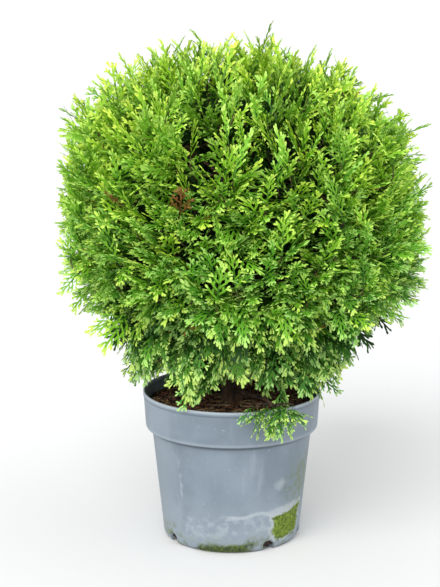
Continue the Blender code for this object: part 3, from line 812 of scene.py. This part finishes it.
def make_spray(style, chance):
    """A spray: an axis, branchlets on both sides by turns, and lobes on both sides of those."""
    length = style.length
    spray = Spray()
    sway = chance.uniform(-AXIS_SWAY, AXIS_SWAY)
    axis = [complex(sway * length * share * share, length * share) for share in np.linspace(0.0, 0.96, 6)]
    spray.strip(axis[:4], AXIS_FOOT_WIDTHS, 0.0, AXIS)
    spray.strip(axis[3:], AXIS_TIP_WIDTHS, 0.0, MIDDLE)
    side = chance.choice((-1.0, 1.0))
    along = FIRST_BRANCHLET * length + chance.uniform(0.0, style.gap)
    while along < LAST_BRANCHLET * length:
        share = along / length
        root = complex(sway * length * share * share, along)
        turn = style.foot_turn + (style.tip_turn - style.foot_turn) * share + chance.uniform(-7.0, 7.0)
        reach = style.spread * (1.0 - share) ** 0.8 * min(1.0, 0.5 + 2.0 * share)
        reach = reach * chance.uniform(0.65, 1.15) + SHORTEST_BRANCHLET
        make_branchlet(spray, root, side * turn, reach, style.lobed, share, chance)
        side = -side
        along += style.gap * chance.uniform(0.75, 1.25)
    tip = turned(chance.uniform(-8.0, 8.0))
    spray.lobe(axis[-1] - tip * 0.001, tip, 0.0050, TIP_LOBE_WIDTH, 0.0002, 0.0003, TIP)
    return spray.bent(chance.uniform(0.0, MOST_BEND), chance.uniform(0.0, MOST_BEND), length, style.spread)


def make_branchlet(spray, root, angle, reach, lobed, share, chance):
    """A branchlet with a knee and a lobe at its end. Share is how far up the spray it stands."""
    lift = chance.uniform(-0.0005, 0.0005)
    side = math.copysign(1.0, angle)
    first = turned(angle)
    second = turned(angle - side * chance.uniform(4.0, 20.0))
    knee = root + first * reach * BRANCHLET_KNEE
    end = knee + second * reach * BRANCHLET_END
    tone = MIDDLE if share < 0.82 else TIP
    if not lobed:
        spray.strip([root, knee, end], PLAIN_BRANCHLET_WIDTHS, lift, tone)
        spray.lobe(end, second, 0.005, PLAIN_LOBE_WIDTH, lift, 0.0004, TIP)
        return
    spray.strip([root, knee, end], BRANCHLET_WIDTHS, lift, tone)
    tilt = chance.uniform(-0.0005, 0.0005)
    spray.lobe(end - second * 0.0006, second, 0.0048, TIP_LOBE_WIDTH, lift + 0.0002, tilt, TIP)
    turn = side
    along = 0.34 * reach + chance.uniform(0.0, 0.002)
    while along < 0.84 * reach and reach > LEAST_REACH_FOR_LOBES:
        on_first = along < BRANCHLET_KNEE * reach
        foot = root + first * along if on_first else knee + second * (along - BRANCHLET_KNEE * reach)
        ahead = turned(angle - turn * chance.uniform(32.0, 50.0))
        size = 0.0034 + 0.28 * (reach - along) * chance.uniform(0.6, 1.2)
        tone = TIP if along > 0.50 * reach or share > 0.72 else MIDDLE
        tilt = chance.uniform(-0.0006, 0.0006)
        spray.lobe(foot, ahead, size + 0.0010, LOBE_WIDTH, lift - 0.0002, tilt, tone)
        turn = -turn
        along += LOBE_GAP * chance.uniform(0.8, 1.2)


def spray_shapes():
    chance = random.Random(SEED + 1)
    shapes = {}
    for name, style in STYLES.items():
        shapes[name] = [make_spray(style, chance) for _ in range(KINDS_OF_EACH)]
    return shapes


# Growing fronds


def clear_of_pot(points, rim):
    """True where all points are outside the pot and above what is in it."""
    from_axis = np.hypot(points[:, 0], points[:, 1])
    inside = (from_axis < rim.x + RIM_CLEARANCE) & (points[:, 2] < rim.z + RIM_CLEARANCE)
    return not inside.any()


def clear_of_hollows(points):
    """True where no point is in a hollow."""
    for *middle, radius in HOLLOWS:
        if np.linalg.norm(points - np.array(middle), axis=1).min() < radius:
            return False
    return True


def flat_frame(heading, roll):
    """The axes of a spray that grows along a heading, rolled from lying flat: across, along and out of it."""
    across = heading.cross(UP)
    if across.length < 0.08:
        across = Vector((1.0, 0.0, 0.0))
    across = Matrix.Rotation(roll, 3, heading) @ (across - heading * across.dot(heading)).normalized()
    return across, heading, across.cross(heading)


class Crown:
    """All that grows on the limbs: for each mass, its forks, its twigs and its sprays."""

    def __init__(self, places, shapes, cad_box):
        self.middles = {name: middle for name, (middle, _) in places.items()}
        self.shapes = shapes
        self.low, self.high = (np.array(corner) for corner in cad_box)
        self.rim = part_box("pot")[1]
        masses = [*places, "hanging_front"]
        self.forks = {name: [] for name in masses}
        self.twigs = {name: [] for name in masses}
        self.sprays = {name: [] for name in masses}

    def mass_of(self, point):
        """The mass whose space a point is in."""
        return min(self.middles, key=lambda name: (self.middles[name] - point).length_squared)

    def start_of(self, tip, heading):
        """The mass that a frond with its tip there belongs to, and the fork it grows from."""
        mass = self.mass_of(tip)
        return mass, nearest(tip - heading * FROND_REACH, self.forks[mass] or [self.middles[mass]])

    def add_spray(self, mass, style, root, axes, length, palette, chance):
        """A spray of a style, moved into the crown's box, unless it would meet the pot or a hollow."""
        corners, triangles, tones = chance.choice(self.shapes[style])
        scale = length / STYLES[style].length
        mirror = chance.choice((-1.0, 1.0))
        turn = np.array([axes[0] * scale * mirror, axes[1] * scale, axes[2] * scale])
        points = corners @ turn + np.array(root)
        under = np.maximum(self.low - points.min(axis=0), 0.0)
        over = np.maximum(points.max(axis=0) - self.high, 0.0)
        points += under - over
        if clear_of_pot(points, self.rim) and clear_of_hollows(points):
            self.sprays[mass].append((points, triangles, tones, palette))

    def add_twig(self, mass, path, radii, sides):
        self.twigs[mass].append((path, *radii, sides))


def palette_at(point, deep, chance):
    """The greens of a spray: painted light and shade by its height, and painted shade where it stands deep in
    the crown.
    """
    if deep:
        return "inner", chance.choice(tuple(VARIANTS))
    if chance.random() < DEAD_SHARE:
        return "dead", "plain"
    height = (point.z - CROWN_CENTRE.z) / CROWN_TOP + chance.uniform(-RING_BLUR, RING_BLUR)
    ring = next(name for name, lowest in RING_HEIGHTS.items() if height > lowest)
    return ring, chance.choices(tuple(VARIANTS), VARIANT_WEIGHTS)[0]


def grow_frond(crown, start, tip, heading, length, styles, chance, hidden=False):
    """A twig from a fork to near a tip, a spray there and side sprays along it, all about in one plane."""
    mass, fork = start
    outer, inner = styles
    root = tip - heading * length
    bend = root - heading * (root - fork).length * 0.4
    path = interpolate_bezier(fork, fork.lerp(root, 0.35), bend, root + heading * 0.004, 9)
    crown.add_twig(mass, path, TWIG_RADII, 3)
    most_roll = TOP_ROLL if tip.z - CROWN_CENTRE.z > ROLL_CHANGES_ABOVE * CROWN_TOP else SIDE_ROLL
    roll = chance.uniform(-most_roll, most_roll)
    axes = flat_frame(heading, roll)
    crown.add_spray(mass, outer, root, axes, length, palette_at(tip, hidden, chance), chance)
    side = chance.choice((-1.0, 1.0))
    for index, share in enumerate(SIDE_PLACES):
        place = share * (len(path) - 1)
        knot = min(int(place), len(path) - 2)
        foot = path[knot].lerp(path[knot + 1], place - knot)
        along = (path[knot + 1] - path[knot]).normalized()
        _, _, face = flat_frame(along, roll + chance.uniform(-0.25, 0.25))
        turn = Matrix.Rotation(math.radians(side * SIDE_TURN * chance.uniform(0.7, 1.15)), 3, face)
        aside = (turn @ along + growth(foot) * 0.35 + scattered(0.15, chance)).normalized()
        axes = flat_frame(aside, roll + chance.uniform(-0.4, 0.4))
        size = length * chance.uniform(0.70, 1.0)
        end = foot + aside * size
        # A side spray that stands deep and doesn't show takes the inner greens, with their painted shade
        shows = end.z > OUTER_HEIGHT and level(end) > OUTER_LEVEL
        deep = (hidden or index >= OUTER_SIDES) and not shows
        style = inner if deep else outer
        crown.add_spray(mass, style, foot, axes, size, palette_at(foot, deep, chance), chance)
        side = -side


def grow_forks(crown, chance):
    """Branches from the middle of each mass to its forks."""
    for heading in spread_headings(FORKS, LOWEST_FROND, 0.08, chance):
        fork = on_level(heading, chance.uniform(*FORK_LEVELS))
        mass = crown.mass_of(fork)
        crown.forks[mass].append(fork)
        middle = crown.middles[mass]
        bend = middle.lerp(fork, 0.5) + scattered(0.006, chance)
        crown.add_twig(mass, interpolate_bezier(middle, bend, bend, fork, 6), BRANCH_RADII, 5)


def grow_outer_fronds(crown, chance):
    """The fronds that show: mostly plumes at the top, and fans below."""
    for heading in spread_headings(FRONDS, LOWEST_FROND, 0.035, chance):
        tip = on_level(heading, chance.uniform(*FRONT_LEVELS) * waist(heading))
        ahead = (growth(tip) + scattered(UNEVEN, chance)).normalized()
        outer = "plume" if heading.z + chance.uniform(-0.5, 0.5) > PLUMES_ABOVE else "fan"
        length = chance.uniform(*TIP_SPRAY)
        grow_frond(crown, crown.start_of(tip, ahead), tip, ahead, length, (outer, "inner"), chance)


def grow_inner_fronds(crown, chance):
    """Plain fronds, dark with the painted shade of the inner greens, which close the view into the crown."""
    for count, levels in INNER_FRONDS:
        for heading in spread_headings(count, LOWEST_FROND, 0.06, chance):
            tip = on_level(heading, chance.uniform(*levels))
            ahead = (growth(tip) + scattered(UNEVEN, chance)).normalized()
            length = chance.uniform(*TIP_SPRAY) * 1.1
            start = crown.start_of(tip, ahead)
            grow_frond(crown, start, tip, ahead, length, ("inner", "inner"), chance, hidden=True)


def grow_skirts(crown, chance):
    """Fronds that droop above the rim, all round but for the gaps at the front."""
    for count, reach, heights, gaps in SKIRTS:
        for index in range(count):
            turn = -180.0 + (index + chance.uniform(-0.4, 0.4)) * 360.0 / count
            if any(first < turn < last for first, last in gaps):
                continue
            tip = round_the_pot(turn, chance.uniform(*reach), chance.uniform(*heights))
            out = Vector((tip.x, tip.y, 0.0)).normalized()
            sideways = out.cross(UP) * chance.uniform(-0.6, 0.6)
            ahead = (out * SKIRT_OUTWARDS - UP * SKIRT_DROOP + sideways).normalized()
            length = chance.uniform(*TIP_SPRAY) * 0.9
            grow_frond(crown, crown.start_of(tip, ahead), tip, ahead, length, ("fan", "inner"), chance)


def grow_long_shoots(crown, chance):
    """Single fronds whose tips stand out of the crown's outline."""
    for across, height in LONG_SHOOTS:
        tip = Vector((across, 0.0, height))
        along = (tip - crown.middles[crown.mass_of(tip)]).normalized()
        ahead = (along + UP * LIFT).normalized()
        start = crown.start_of(tip, along)
        grow_frond(crown, start, tip - ahead * 0.001, ahead, SHOOT_SPRAY, ("plume", "inner"), chance)


def grow_crown(crown):
    chance = random.Random(SEED)
    grow_forks(crown, chance)
    grow_outer_fronds(crown, chance)
    grow_inner_fronds(crown, chance)
    grow_skirts(crown, chance)
    grow_long_shoots(crown, chance)


def grow_hanging_sprays(crown):
    """Twigs from the low bough at the front, over the rim and down in front of it."""
    chance = random.Random(SEED + 2)
    mass = "hanging_front"
    start = Vector(HANG_BOUGH_END)
    crest = Vector(HANG_CREST)
    crown.add_twig(mass, [start, start.lerp(crest, 0.5) + UP * 0.002, crest], HANG_BRANCH_RADII, 5)
    for across, height, count in HANG_TIPS:
        tip = Vector((across, HANG_FORWARD, height))
        knee = Vector((across, HANG_FORWARD + 0.004, crest.z + 0.002))
        path = interpolate_bezier(crest, crest.lerp(knee, 0.5) + UP * 0.004, knee + UP * 0.004, knee, 7)
        crown.add_twig(mass, path, HANG_TWIG_RADII, 3)
        for index in range(count):
            turn = (index - (count - 1) / 2) * HANG_FAN + chance.uniform(-9.0, 9.0)
            ahead = Matrix.Rotation(math.radians(turn), 3, "Y") @ (tip - knee).normalized()
            ahead = (ahead + Vector((0.0, chance.uniform(-0.25, 0.05), 0.0))).normalized()
            axes = flat_frame(ahead, chance.uniform(-0.4, 0.4))
            aside = chance.uniform(-0.003, 0.003)
            foot = knee + Vector((aside, chance.uniform(-0.004, 0.001), index % 2 * 0.002))
            # The lower greens, darker with their painted shade
            palette = ("lower", chance.choice(("warm", "plain", "cool")))
            size = (tip - knee).length * chance.uniform(0.85, 1.0)
            crown.add_spray(mass, "fan", foot, axes, size, palette, chance)


def tube_arrays(path, start_radius, end_radius, sides):
    """The corners and triangles of a thin closed twig along a path."""
    knots = np.array(path)
    count = len(knots)
    ahead = np.gradient(knots, axis=0)
    ahead /= np.linalg.norm(ahead, axis=1)[:, None]
    guide = np.array((0.31, 0.17, 0.93)) if abs(ahead[0][2]) < 0.8 else np.array((0.93, 0.31, 0.17))
    across = np.cross(ahead, guide)
    across /= np.linalg.norm(across, axis=1)[:, None]
    other = np.cross(ahead, across)
    radii = np.linspace(start_radius, end_radius, count)[:, None, None]
    angles = np.arange(sides) * 2 * math.pi / sides
    cosines, sines = (values[None, :, None] for values in (np.cos(angles), np.sin(angles)))
    ring = cosines * across[:, None, :] + sines * other[:, None, :]
    corners = (knots[:, None, :] + ring * radii).reshape(-1, 3)
    triangles = []
    for knot in range(count - 1):
        for side in range(sides):
            here, there = knot * sides + side, knot * sides + (side + 1) % sides
            triangles += [(here, there, there + sides), (here, there + sides, here + sides)]
    last = len(corners) - sides
    for side in range(1, sides - 1):
        triangles += [(0, side + 1, side), (last, last + side, last + side + 1)]
    return corners, np.array(triangles)


def joined(parts):
    """Corners and triangles of many small parts, as one pair of arrays."""
    corners = np.concatenate([part[0] for part in parts])
    offsets = np.cumsum([0] + [len(part[0]) for part in parts[:-1]])
    triangles = np.concatenate([part[1] + offset for part, offset in zip(parts, offsets)])
    return corners, triangles


def finish_crown(crown, greens, twig_bark):
    """Joins the sprays of each mass into one piece, and its twigs into another."""
    for mass, sprays in crown.sprays.items():
        ring = "lower" if mass == "hanging_front" else mass.split("_")[0]
        corners, triangles = joined(sprays)
        used = sorted({palette for _, _, _, palette in sprays})
        materials = [greens[(*palette, tone)] for palette in used for tone in TONES]
        numbers = [tones + used.index(palette) * len(TONES) for _, _, tones, palette in sprays]
        piece = mesh_of(f"sprays_{mass}", corners, triangles, materials, np.concatenate(numbers))
        hand_over(piece, None, f"leaf_{ring}", f"foliage_{mass}")
        corners, triangles = joined([tube_arrays(*twig) for twig in crown.twigs[mass]])
        piece = mesh_of(f"twigs_{mass}", corners, triangles, [twig_bark], np.zeros(len(triangles)))
        hand_over(piece, None, "bark")


def leaf_greens():
    """A plain finish for each green, variant and tone."""
    greens = {}
    for ring, tones in GREENS.items():
        for variant, tint in VARIANTS.items():
            for tone, colour in zip(TONES, tones):
                tinted = [min(1.0, value * share) for value, share in zip(linear(*colour), tint)]
                graph = Graph(f"leaf_{ring}_{variant}_{tone}", tinted, LEAF_ROUGHNESS)
                graph.feed("Specular IOR Level", LEAF_GLOSS)
                greens[(ring, variant, tone)] = graph.material
    return greens


# Mulch


def make_mulch(bed_material, shred_materials):
    """A lumpy bed in the pot, and torn shreds of bark strewn on it."""
    low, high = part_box("bark_mulch")
    radius = high.x - MULCH_GAP
    deselect()
    bpy.ops.mesh.primitive_cylinder_add(
        vertices=64,
        radius=radius,
        depth=MULCH_TOP - low.z,
        location=(0.0, 0.0, (MULCH_TOP + low.z) / 2),
        end_fill_type="TRIFAN",
    )
    apply_place()
    bed = named("mulch_bed")
    bpy.ops.object.mode_set(mode="EDIT")
    pick_faces(bed, lambda middle, normal: normal.z > 0.9)
    bpy.ops.mesh.subdivide(number_cuts=12)
    bpy.ops.object.mode_set(mode="OBJECT")
    top = bed.vertex_groups.new(name="top")
    rim = radius * 0.97
    inner = [v.index for v in bed.data.vertices if v.co.z > MULCH_TOP - 0.0001 and v.co.xy.length < rim]
    top.add(inner, 1.0, "REPLACE")
    lumps = bed.modifiers.new("lumps", "DISPLACE")
    lumps.texture = bpy.data.textures.new("lumps", "CLOUDS")
    lumps.texture.noise_scale = LUMP_SIZE
    lumps.direction = "Z"
    lumps.strength = LUMP_HEIGHT
    lumps.mid_level = 0.55
    lumps.vertex_group = "top"
    apply_all(bed)
    bpy.ops.object.shade_smooth()
    hand_over(bed, bed_material, "mulch", "bark_mulch")
    strew_shreds(radius, high.z, shred_materials)


def strew_shreds(radius, highest, materials):
    """Thin bent shreds that lie every way on the bed. One that would meet the pot is left out."""
    chance = random.Random(SEED + 3)
    parts = []
    numbers = []
    for _ in range(SHREDS):
        away = radius * 0.96 * math.sqrt(chance.random())
        angle = chance.uniform(0.0, 2.0 * math.pi)
        height = MULCH_TOP + chance.uniform(0.0, 0.0012)
        middle = Vector((away * math.cos(angle), away * math.sin(angle), height))
        length = chance.uniform(*SHRED_LENGTHS)
        heading = Matrix.Rotation(chance.uniform(0.0, 2.0 * math.pi), 3, "Z") @ Vector((1.0, 0.0, 0.0))
        heading.z = chance.gauss(0.0, SHRED_TILT)
        start = middle - heading * length / 2
        end = middle + heading * length / 2
        if max(start.xy.length, end.xy.length) > radius * 0.985:
            continue
        bow = [chance.uniform(-0.2, 0.2) * length for _ in range(2)]
        bend = middle + Vector((*bow, chance.uniform(0.0, 0.002)))
        path = interpolate_bezier(start, bend, bend, end, 4)
        for point in path:
            point.z = min(max(point.z, MULCH_TOP - 0.002), highest - 0.0012)
        width = chance.uniform(*SHRED_RADII)
        part = tube_arrays(path, width, width * 0.6, 3)
        parts.append(part)
        numbers.append(np.full(len(part[1]), chance.randrange(len(materials))))
    corners, triangles = joined(parts)
    piece = mesh_of("mulch_shreds", corners, triangles, materials, np.concatenate(numbers))
    hand_over(piece, None, "mulch")


# Materials


def weathered(red, green, blue):
    """A colour of the pot as it shows in the studio's light, made the darker one that it is."""
    return tuple(value * POT_SHADE for value in linear(red, green, blue))


def pot_plastic(pot_height):
    """Grey plastic with chalk, scrapes, streaks and specks, painted shade and highlights at its collar and
    lip, algae and two patches of moss.
    """
    graph = Graph("pot_plastic_weathered", weathered(140, 156, 171), 0.5)
    axes = graph.tree.nodes.new("ShaderNodeSeparateXYZ")
    graph.join(axes.inputs[0], graph.place)
    across, back, height = (Signal(graph, socket) for socket in axes.outputs)
    turn = graph.maths("ARCTAN2", across, back * -1.0) * (180.0 / math.pi)
    clouds = graph.noise(20.0, 6.0)
    wander = graph.noise(70.0, 5.0) - 0.5
    specks = graph.noise(330.0, 3.0)
    streaks = graph.noise(75.0, 4.0, graph.stretched((1.0, 1.0, 0.10)))
    dust = graph.noise(150.0, 8.0)
    stains = graph.noise(34.0, 5.0)
    ragged_turn = turn + wander * 26.0
    ragged_height = height + wander * 0.012 - turn * SCRAPE_SLOPE

    def patch(turns, heights, soft_turn=4.0, soft_height=0.002):
        """1 within a range of turns and heights with a ragged edge, and 0 outside it."""
        left, right = turns
        low, high = heights
        from_left = ragged_turn.steps(left - soft_turn, left + soft_turn)
        from_right = ragged_turn.steps(right + soft_turn, right - soft_turn)
        from_low = ragged_height.steps(low - soft_height, low + soft_height)
        from_high = ragged_height.steps(high + soft_height, high - soft_height)
        return from_left * from_right * from_low * from_high

    def stripe(edge, start, full, fading, end):
        """1 between two heights above an edge, full and fading, and 0 under the start and over the end."""
        return height.steps(edge + start, edge + full) * height.steps(edge + end, edge + fading)

    low_pallor = height.steps(0.070, 0.012)
    chalk = patch((-42.0, 62.0), (0.010, 0.038), 8.0, 0.005) * dust.steps(0.40, 0.62)
    scrape = patch((-6.0, 62.0), (0.0345, 0.0385), 5.0, 0.001)
    left_pallor = turn.steps(-41.0, -47.0) * turn.steps(-75.0, -65.0)
    left_streaks = patch((-66.0, -44.0), (0.055, 0.106), 3.0, 0.004) * streaks.steps(0.48, 0.62)
    rubbed_spot = patch((36.0, 44.0), (0.058, 0.068), 4.0, 0.003)
    wear = (
        (low_pallor * 0.6, (172, 185, 197)),
        (chalk * 0.55, (196, 208, 217)),
        (scrape * 0.7, (206, 215, 222)),
        (left_pallor * 0.30, (180, 192, 203)),
        (left_streaks * 0.8, (205, 214, 221)),
        (streaks.steps(0.60, 0.78) * 0.40, (186, 197, 207)),
        (specks.steps(0.66, 0.74) * 0.45, (205, 214, 221)),
        (rubbed_spot * 0.55, (202, 212, 220)),
        (stains.steps(0.60, 0.74) * 0.25, (112, 124, 134)),
    )
    collar = pot_height - COLLAR_HEIGHT
    band = pot_height - LIP_BAND
    # Painted shadow in a band under the collar's step, a painted highlight on the collar's edge, painted
    # shade in the groove under the lip and a painted highlight along the lip
    shadow_painted_under_collar = stripe(collar, -0.0050, -0.0025, -0.0005, 0.0010)
    highlight_painted_on_collar = stripe(collar, -0.0002, 0.0010, 0.0020, 0.0045)
    shadow_painted_under_lip = stripe(band, -0.0017, -0.0005, 0.0001, 0.0011)
    lip = height.steps(band + 0.0015, band + 0.0027)
    # Painted shade and highlights at the collar and the lip
    edges = (
        (shadow_painted_under_collar * 0.75, (84, 96, 108)),
        (highlight_painted_on_collar * 0.45, (186, 198, 208)),
        (shadow_painted_under_lip * 0.55, (102, 115, 128)),
        (lip * 0.75, (202, 212, 221)),
    )
    moss_outline = patch((31.0, 69.0), (0.003, 0.036), 3.0, 0.0015)
    film = patch((-76.0, 60.0), (-0.010, 0.014), 8.0, 0.008) * dust.steps(0.42, 0.60)
    left_algae = patch((-74.0, -46.0), (0.002, 0.026), 8.0, 0.008) * dust.steps(0.38, 0.60)
    right_algae = patch((50.0, 82.0), (0.034, 0.080), 10.0, 0.016) * dust.steps(0.36, 0.60)
    algae = (
        (moss_outline * 0.85, (208, 217, 222)),
        (film * 0.65, (120, 134, 92)),
        (left_algae * 0.8, (122, 140, 72)),
        (right_algae * 0.65, (118, 138, 78)),
    )
    colour = graph.mixed(clouds.steps(0.35, 0.68), weathered(136, 152, 166), weathered(156, 171, 186))
    for share, shade in wear + edges + algae:
        colour = graph.mixed(share, colour, weathered(*shade))
    base_moss = patch((-30.0, 15.0), (-0.010, 0.0090), 4.0, 0.003)
    side_moss = patch((35.0, 66.0), (0.0055, 0.0315), 2.0, 0.001)
    tufts = specks.steps(0.40, 0.60)
    dark_greens = graph.mixed(tufts, weathered(50, 66, 26), weathered(104, 122, 52))
    bright_greens = graph.mixed(tufts, weathered(92, 118, 34), weathered(150, 176, 62))
    colour = graph.mixed(base_moss * 0.95, colour, dark_greens)
    colour = graph.mixed(side_moss, colour, bright_greens)
    graph.feed("Base Color", colour)
    grown = side_moss.larger(base_moss)
    graph.feed("Roughness", grown * 0.35 + clouds.steps(0.3, 0.7) * 0.15 + 0.42)
    graph.bump(specks * (grown * 3.0 + 0.35) + grown * 1.5, 0.5, 0.0006)
    return graph.material


def bark():
    """Brown bark, with fibres that run up it."""
    graph = Graph("bark_furrowed", linear(96, 70, 50), 0.85)
    fibres = graph.noise(90.0, 6.0, graph.stretched((1.0, 1.0, 0.18)))
    graph.feed("Base Color", graph.mixed(fibres.steps(0.35, 0.65), linear(40, 28, 20), linear(104, 78, 56)))
    graph.bump(fibres, 0.6, 0.001)
    return graph.material


def crumbs(name, dark, light):
    """A rough matt finish, grained between two colours."""
    graph = Graph(name, dark, 0.92)
    grain = graph.noise(260.0, 6.0)
    graph.feed("Base Color", graph.mixed(grain.steps(0.40, 0.66), dark, light))
    graph.bump(grain, 0.9, 0.002)
    return graph.material


# Stage


def make_camera():
    """A camera in front, moved aside so that the pot's axis falls on its pixel."""
    camera = bpy.data.objects.new("camera", bpy.data.cameras.new("camera"))
    camera.data.lens = CAMERA_LENS
    camera.data.sensor_width = SENSOR
    camera.data.shift_y = CAMERA_SHIFT
    focal_pixels = CAMERA_LENS / SENSOR * FRAME_HEIGHT
    aside = (FRAME_WIDTH / 2 - POT_AXIS_PIXEL) * CAMERA_DISTANCE / focal_pixels
    camera.location = (aside, -CAMERA_DISTANCE, CAMERA_HEIGHT)
    camera.rotation_euler = (math.radians(90.0 - CAMERA_PITCH), 0.0, 0.0)
    bpy.context.scene.collection.objects.link(camera)
    bpy.context.scene.camera = camera


def make_stage():
    deselect()
    bpy.ops.mesh.primitive_plane_add(size=FLOOR_SIZE, location=(0.0, 0.0, -FLOOR_DROP))
    floor = named("floor")
    floor.data.materials.append(Graph("studio_floor", (FLOOR_GREY,) * 3, 0.9).material)

    world = bpy.data.worlds.new("studio")
    world.use_nodes = True
    sky = world.node_tree.nodes["Background"].inputs
    sky["Color"].default_value = SKY_COLOUR
    sky["Strength"].default_value = SKY_STRENGTH
    bpy.context.scene.world = world
    for name, (place, breadth, strength) in LIGHTS.items():
        light = bpy.data.lights.new(name, "SUN")
        light.angle = math.radians(breadth)
        light.energy = strength
        lamp = bpy.data.objects.new(name, light)
        lamp.rotation_euler = Vector(place).to_track_quat("Z", "Y").to_euler()
        bpy.context.scene.collection.objects.link(lamp)

    make_camera()
    bpy.context.scene.view_settings.view_transform = "Standard"


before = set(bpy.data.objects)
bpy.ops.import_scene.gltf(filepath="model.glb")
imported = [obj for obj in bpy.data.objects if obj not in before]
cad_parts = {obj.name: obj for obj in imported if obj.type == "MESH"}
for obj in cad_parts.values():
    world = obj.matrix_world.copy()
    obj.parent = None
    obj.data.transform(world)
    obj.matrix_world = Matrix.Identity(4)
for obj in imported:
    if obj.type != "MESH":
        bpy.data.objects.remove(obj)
cad_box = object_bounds()

places = mass_places()
bark_finish = bark()
make_pot(pot_plastic(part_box("pot")[1].z))
bright_moss = Graph("moss_bright", weathered(138, 166, 58), 0.9).material
dark_moss = Graph("moss_dark", weathered(74, 94, 36), 0.9).material
make_moss([bright_moss, dark_moss])
make_limbs(places, bark_finish)
shreds = [
    crumbs(f"shred_{name}", linear(*dark), linear(*light)) for name, (dark, light) in SHRED_TONES.items()
]
make_mulch(crumbs("mulch_crumbs", linear(26, 16, 10), linear(66, 44, 30)), shreds)
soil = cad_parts["soil"].data
soil.materials.clear()
soil.materials.append(crumbs("soil_crumbs", linear(24, 15, 10), linear(52, 36, 25)))

crown = Crown(places, spray_shapes(), cad_box)
grow_crown(crown)
grow_hanging_sprays(crown)
finish_crown(crown, leaf_greens(), bark_finish)
make_stage()
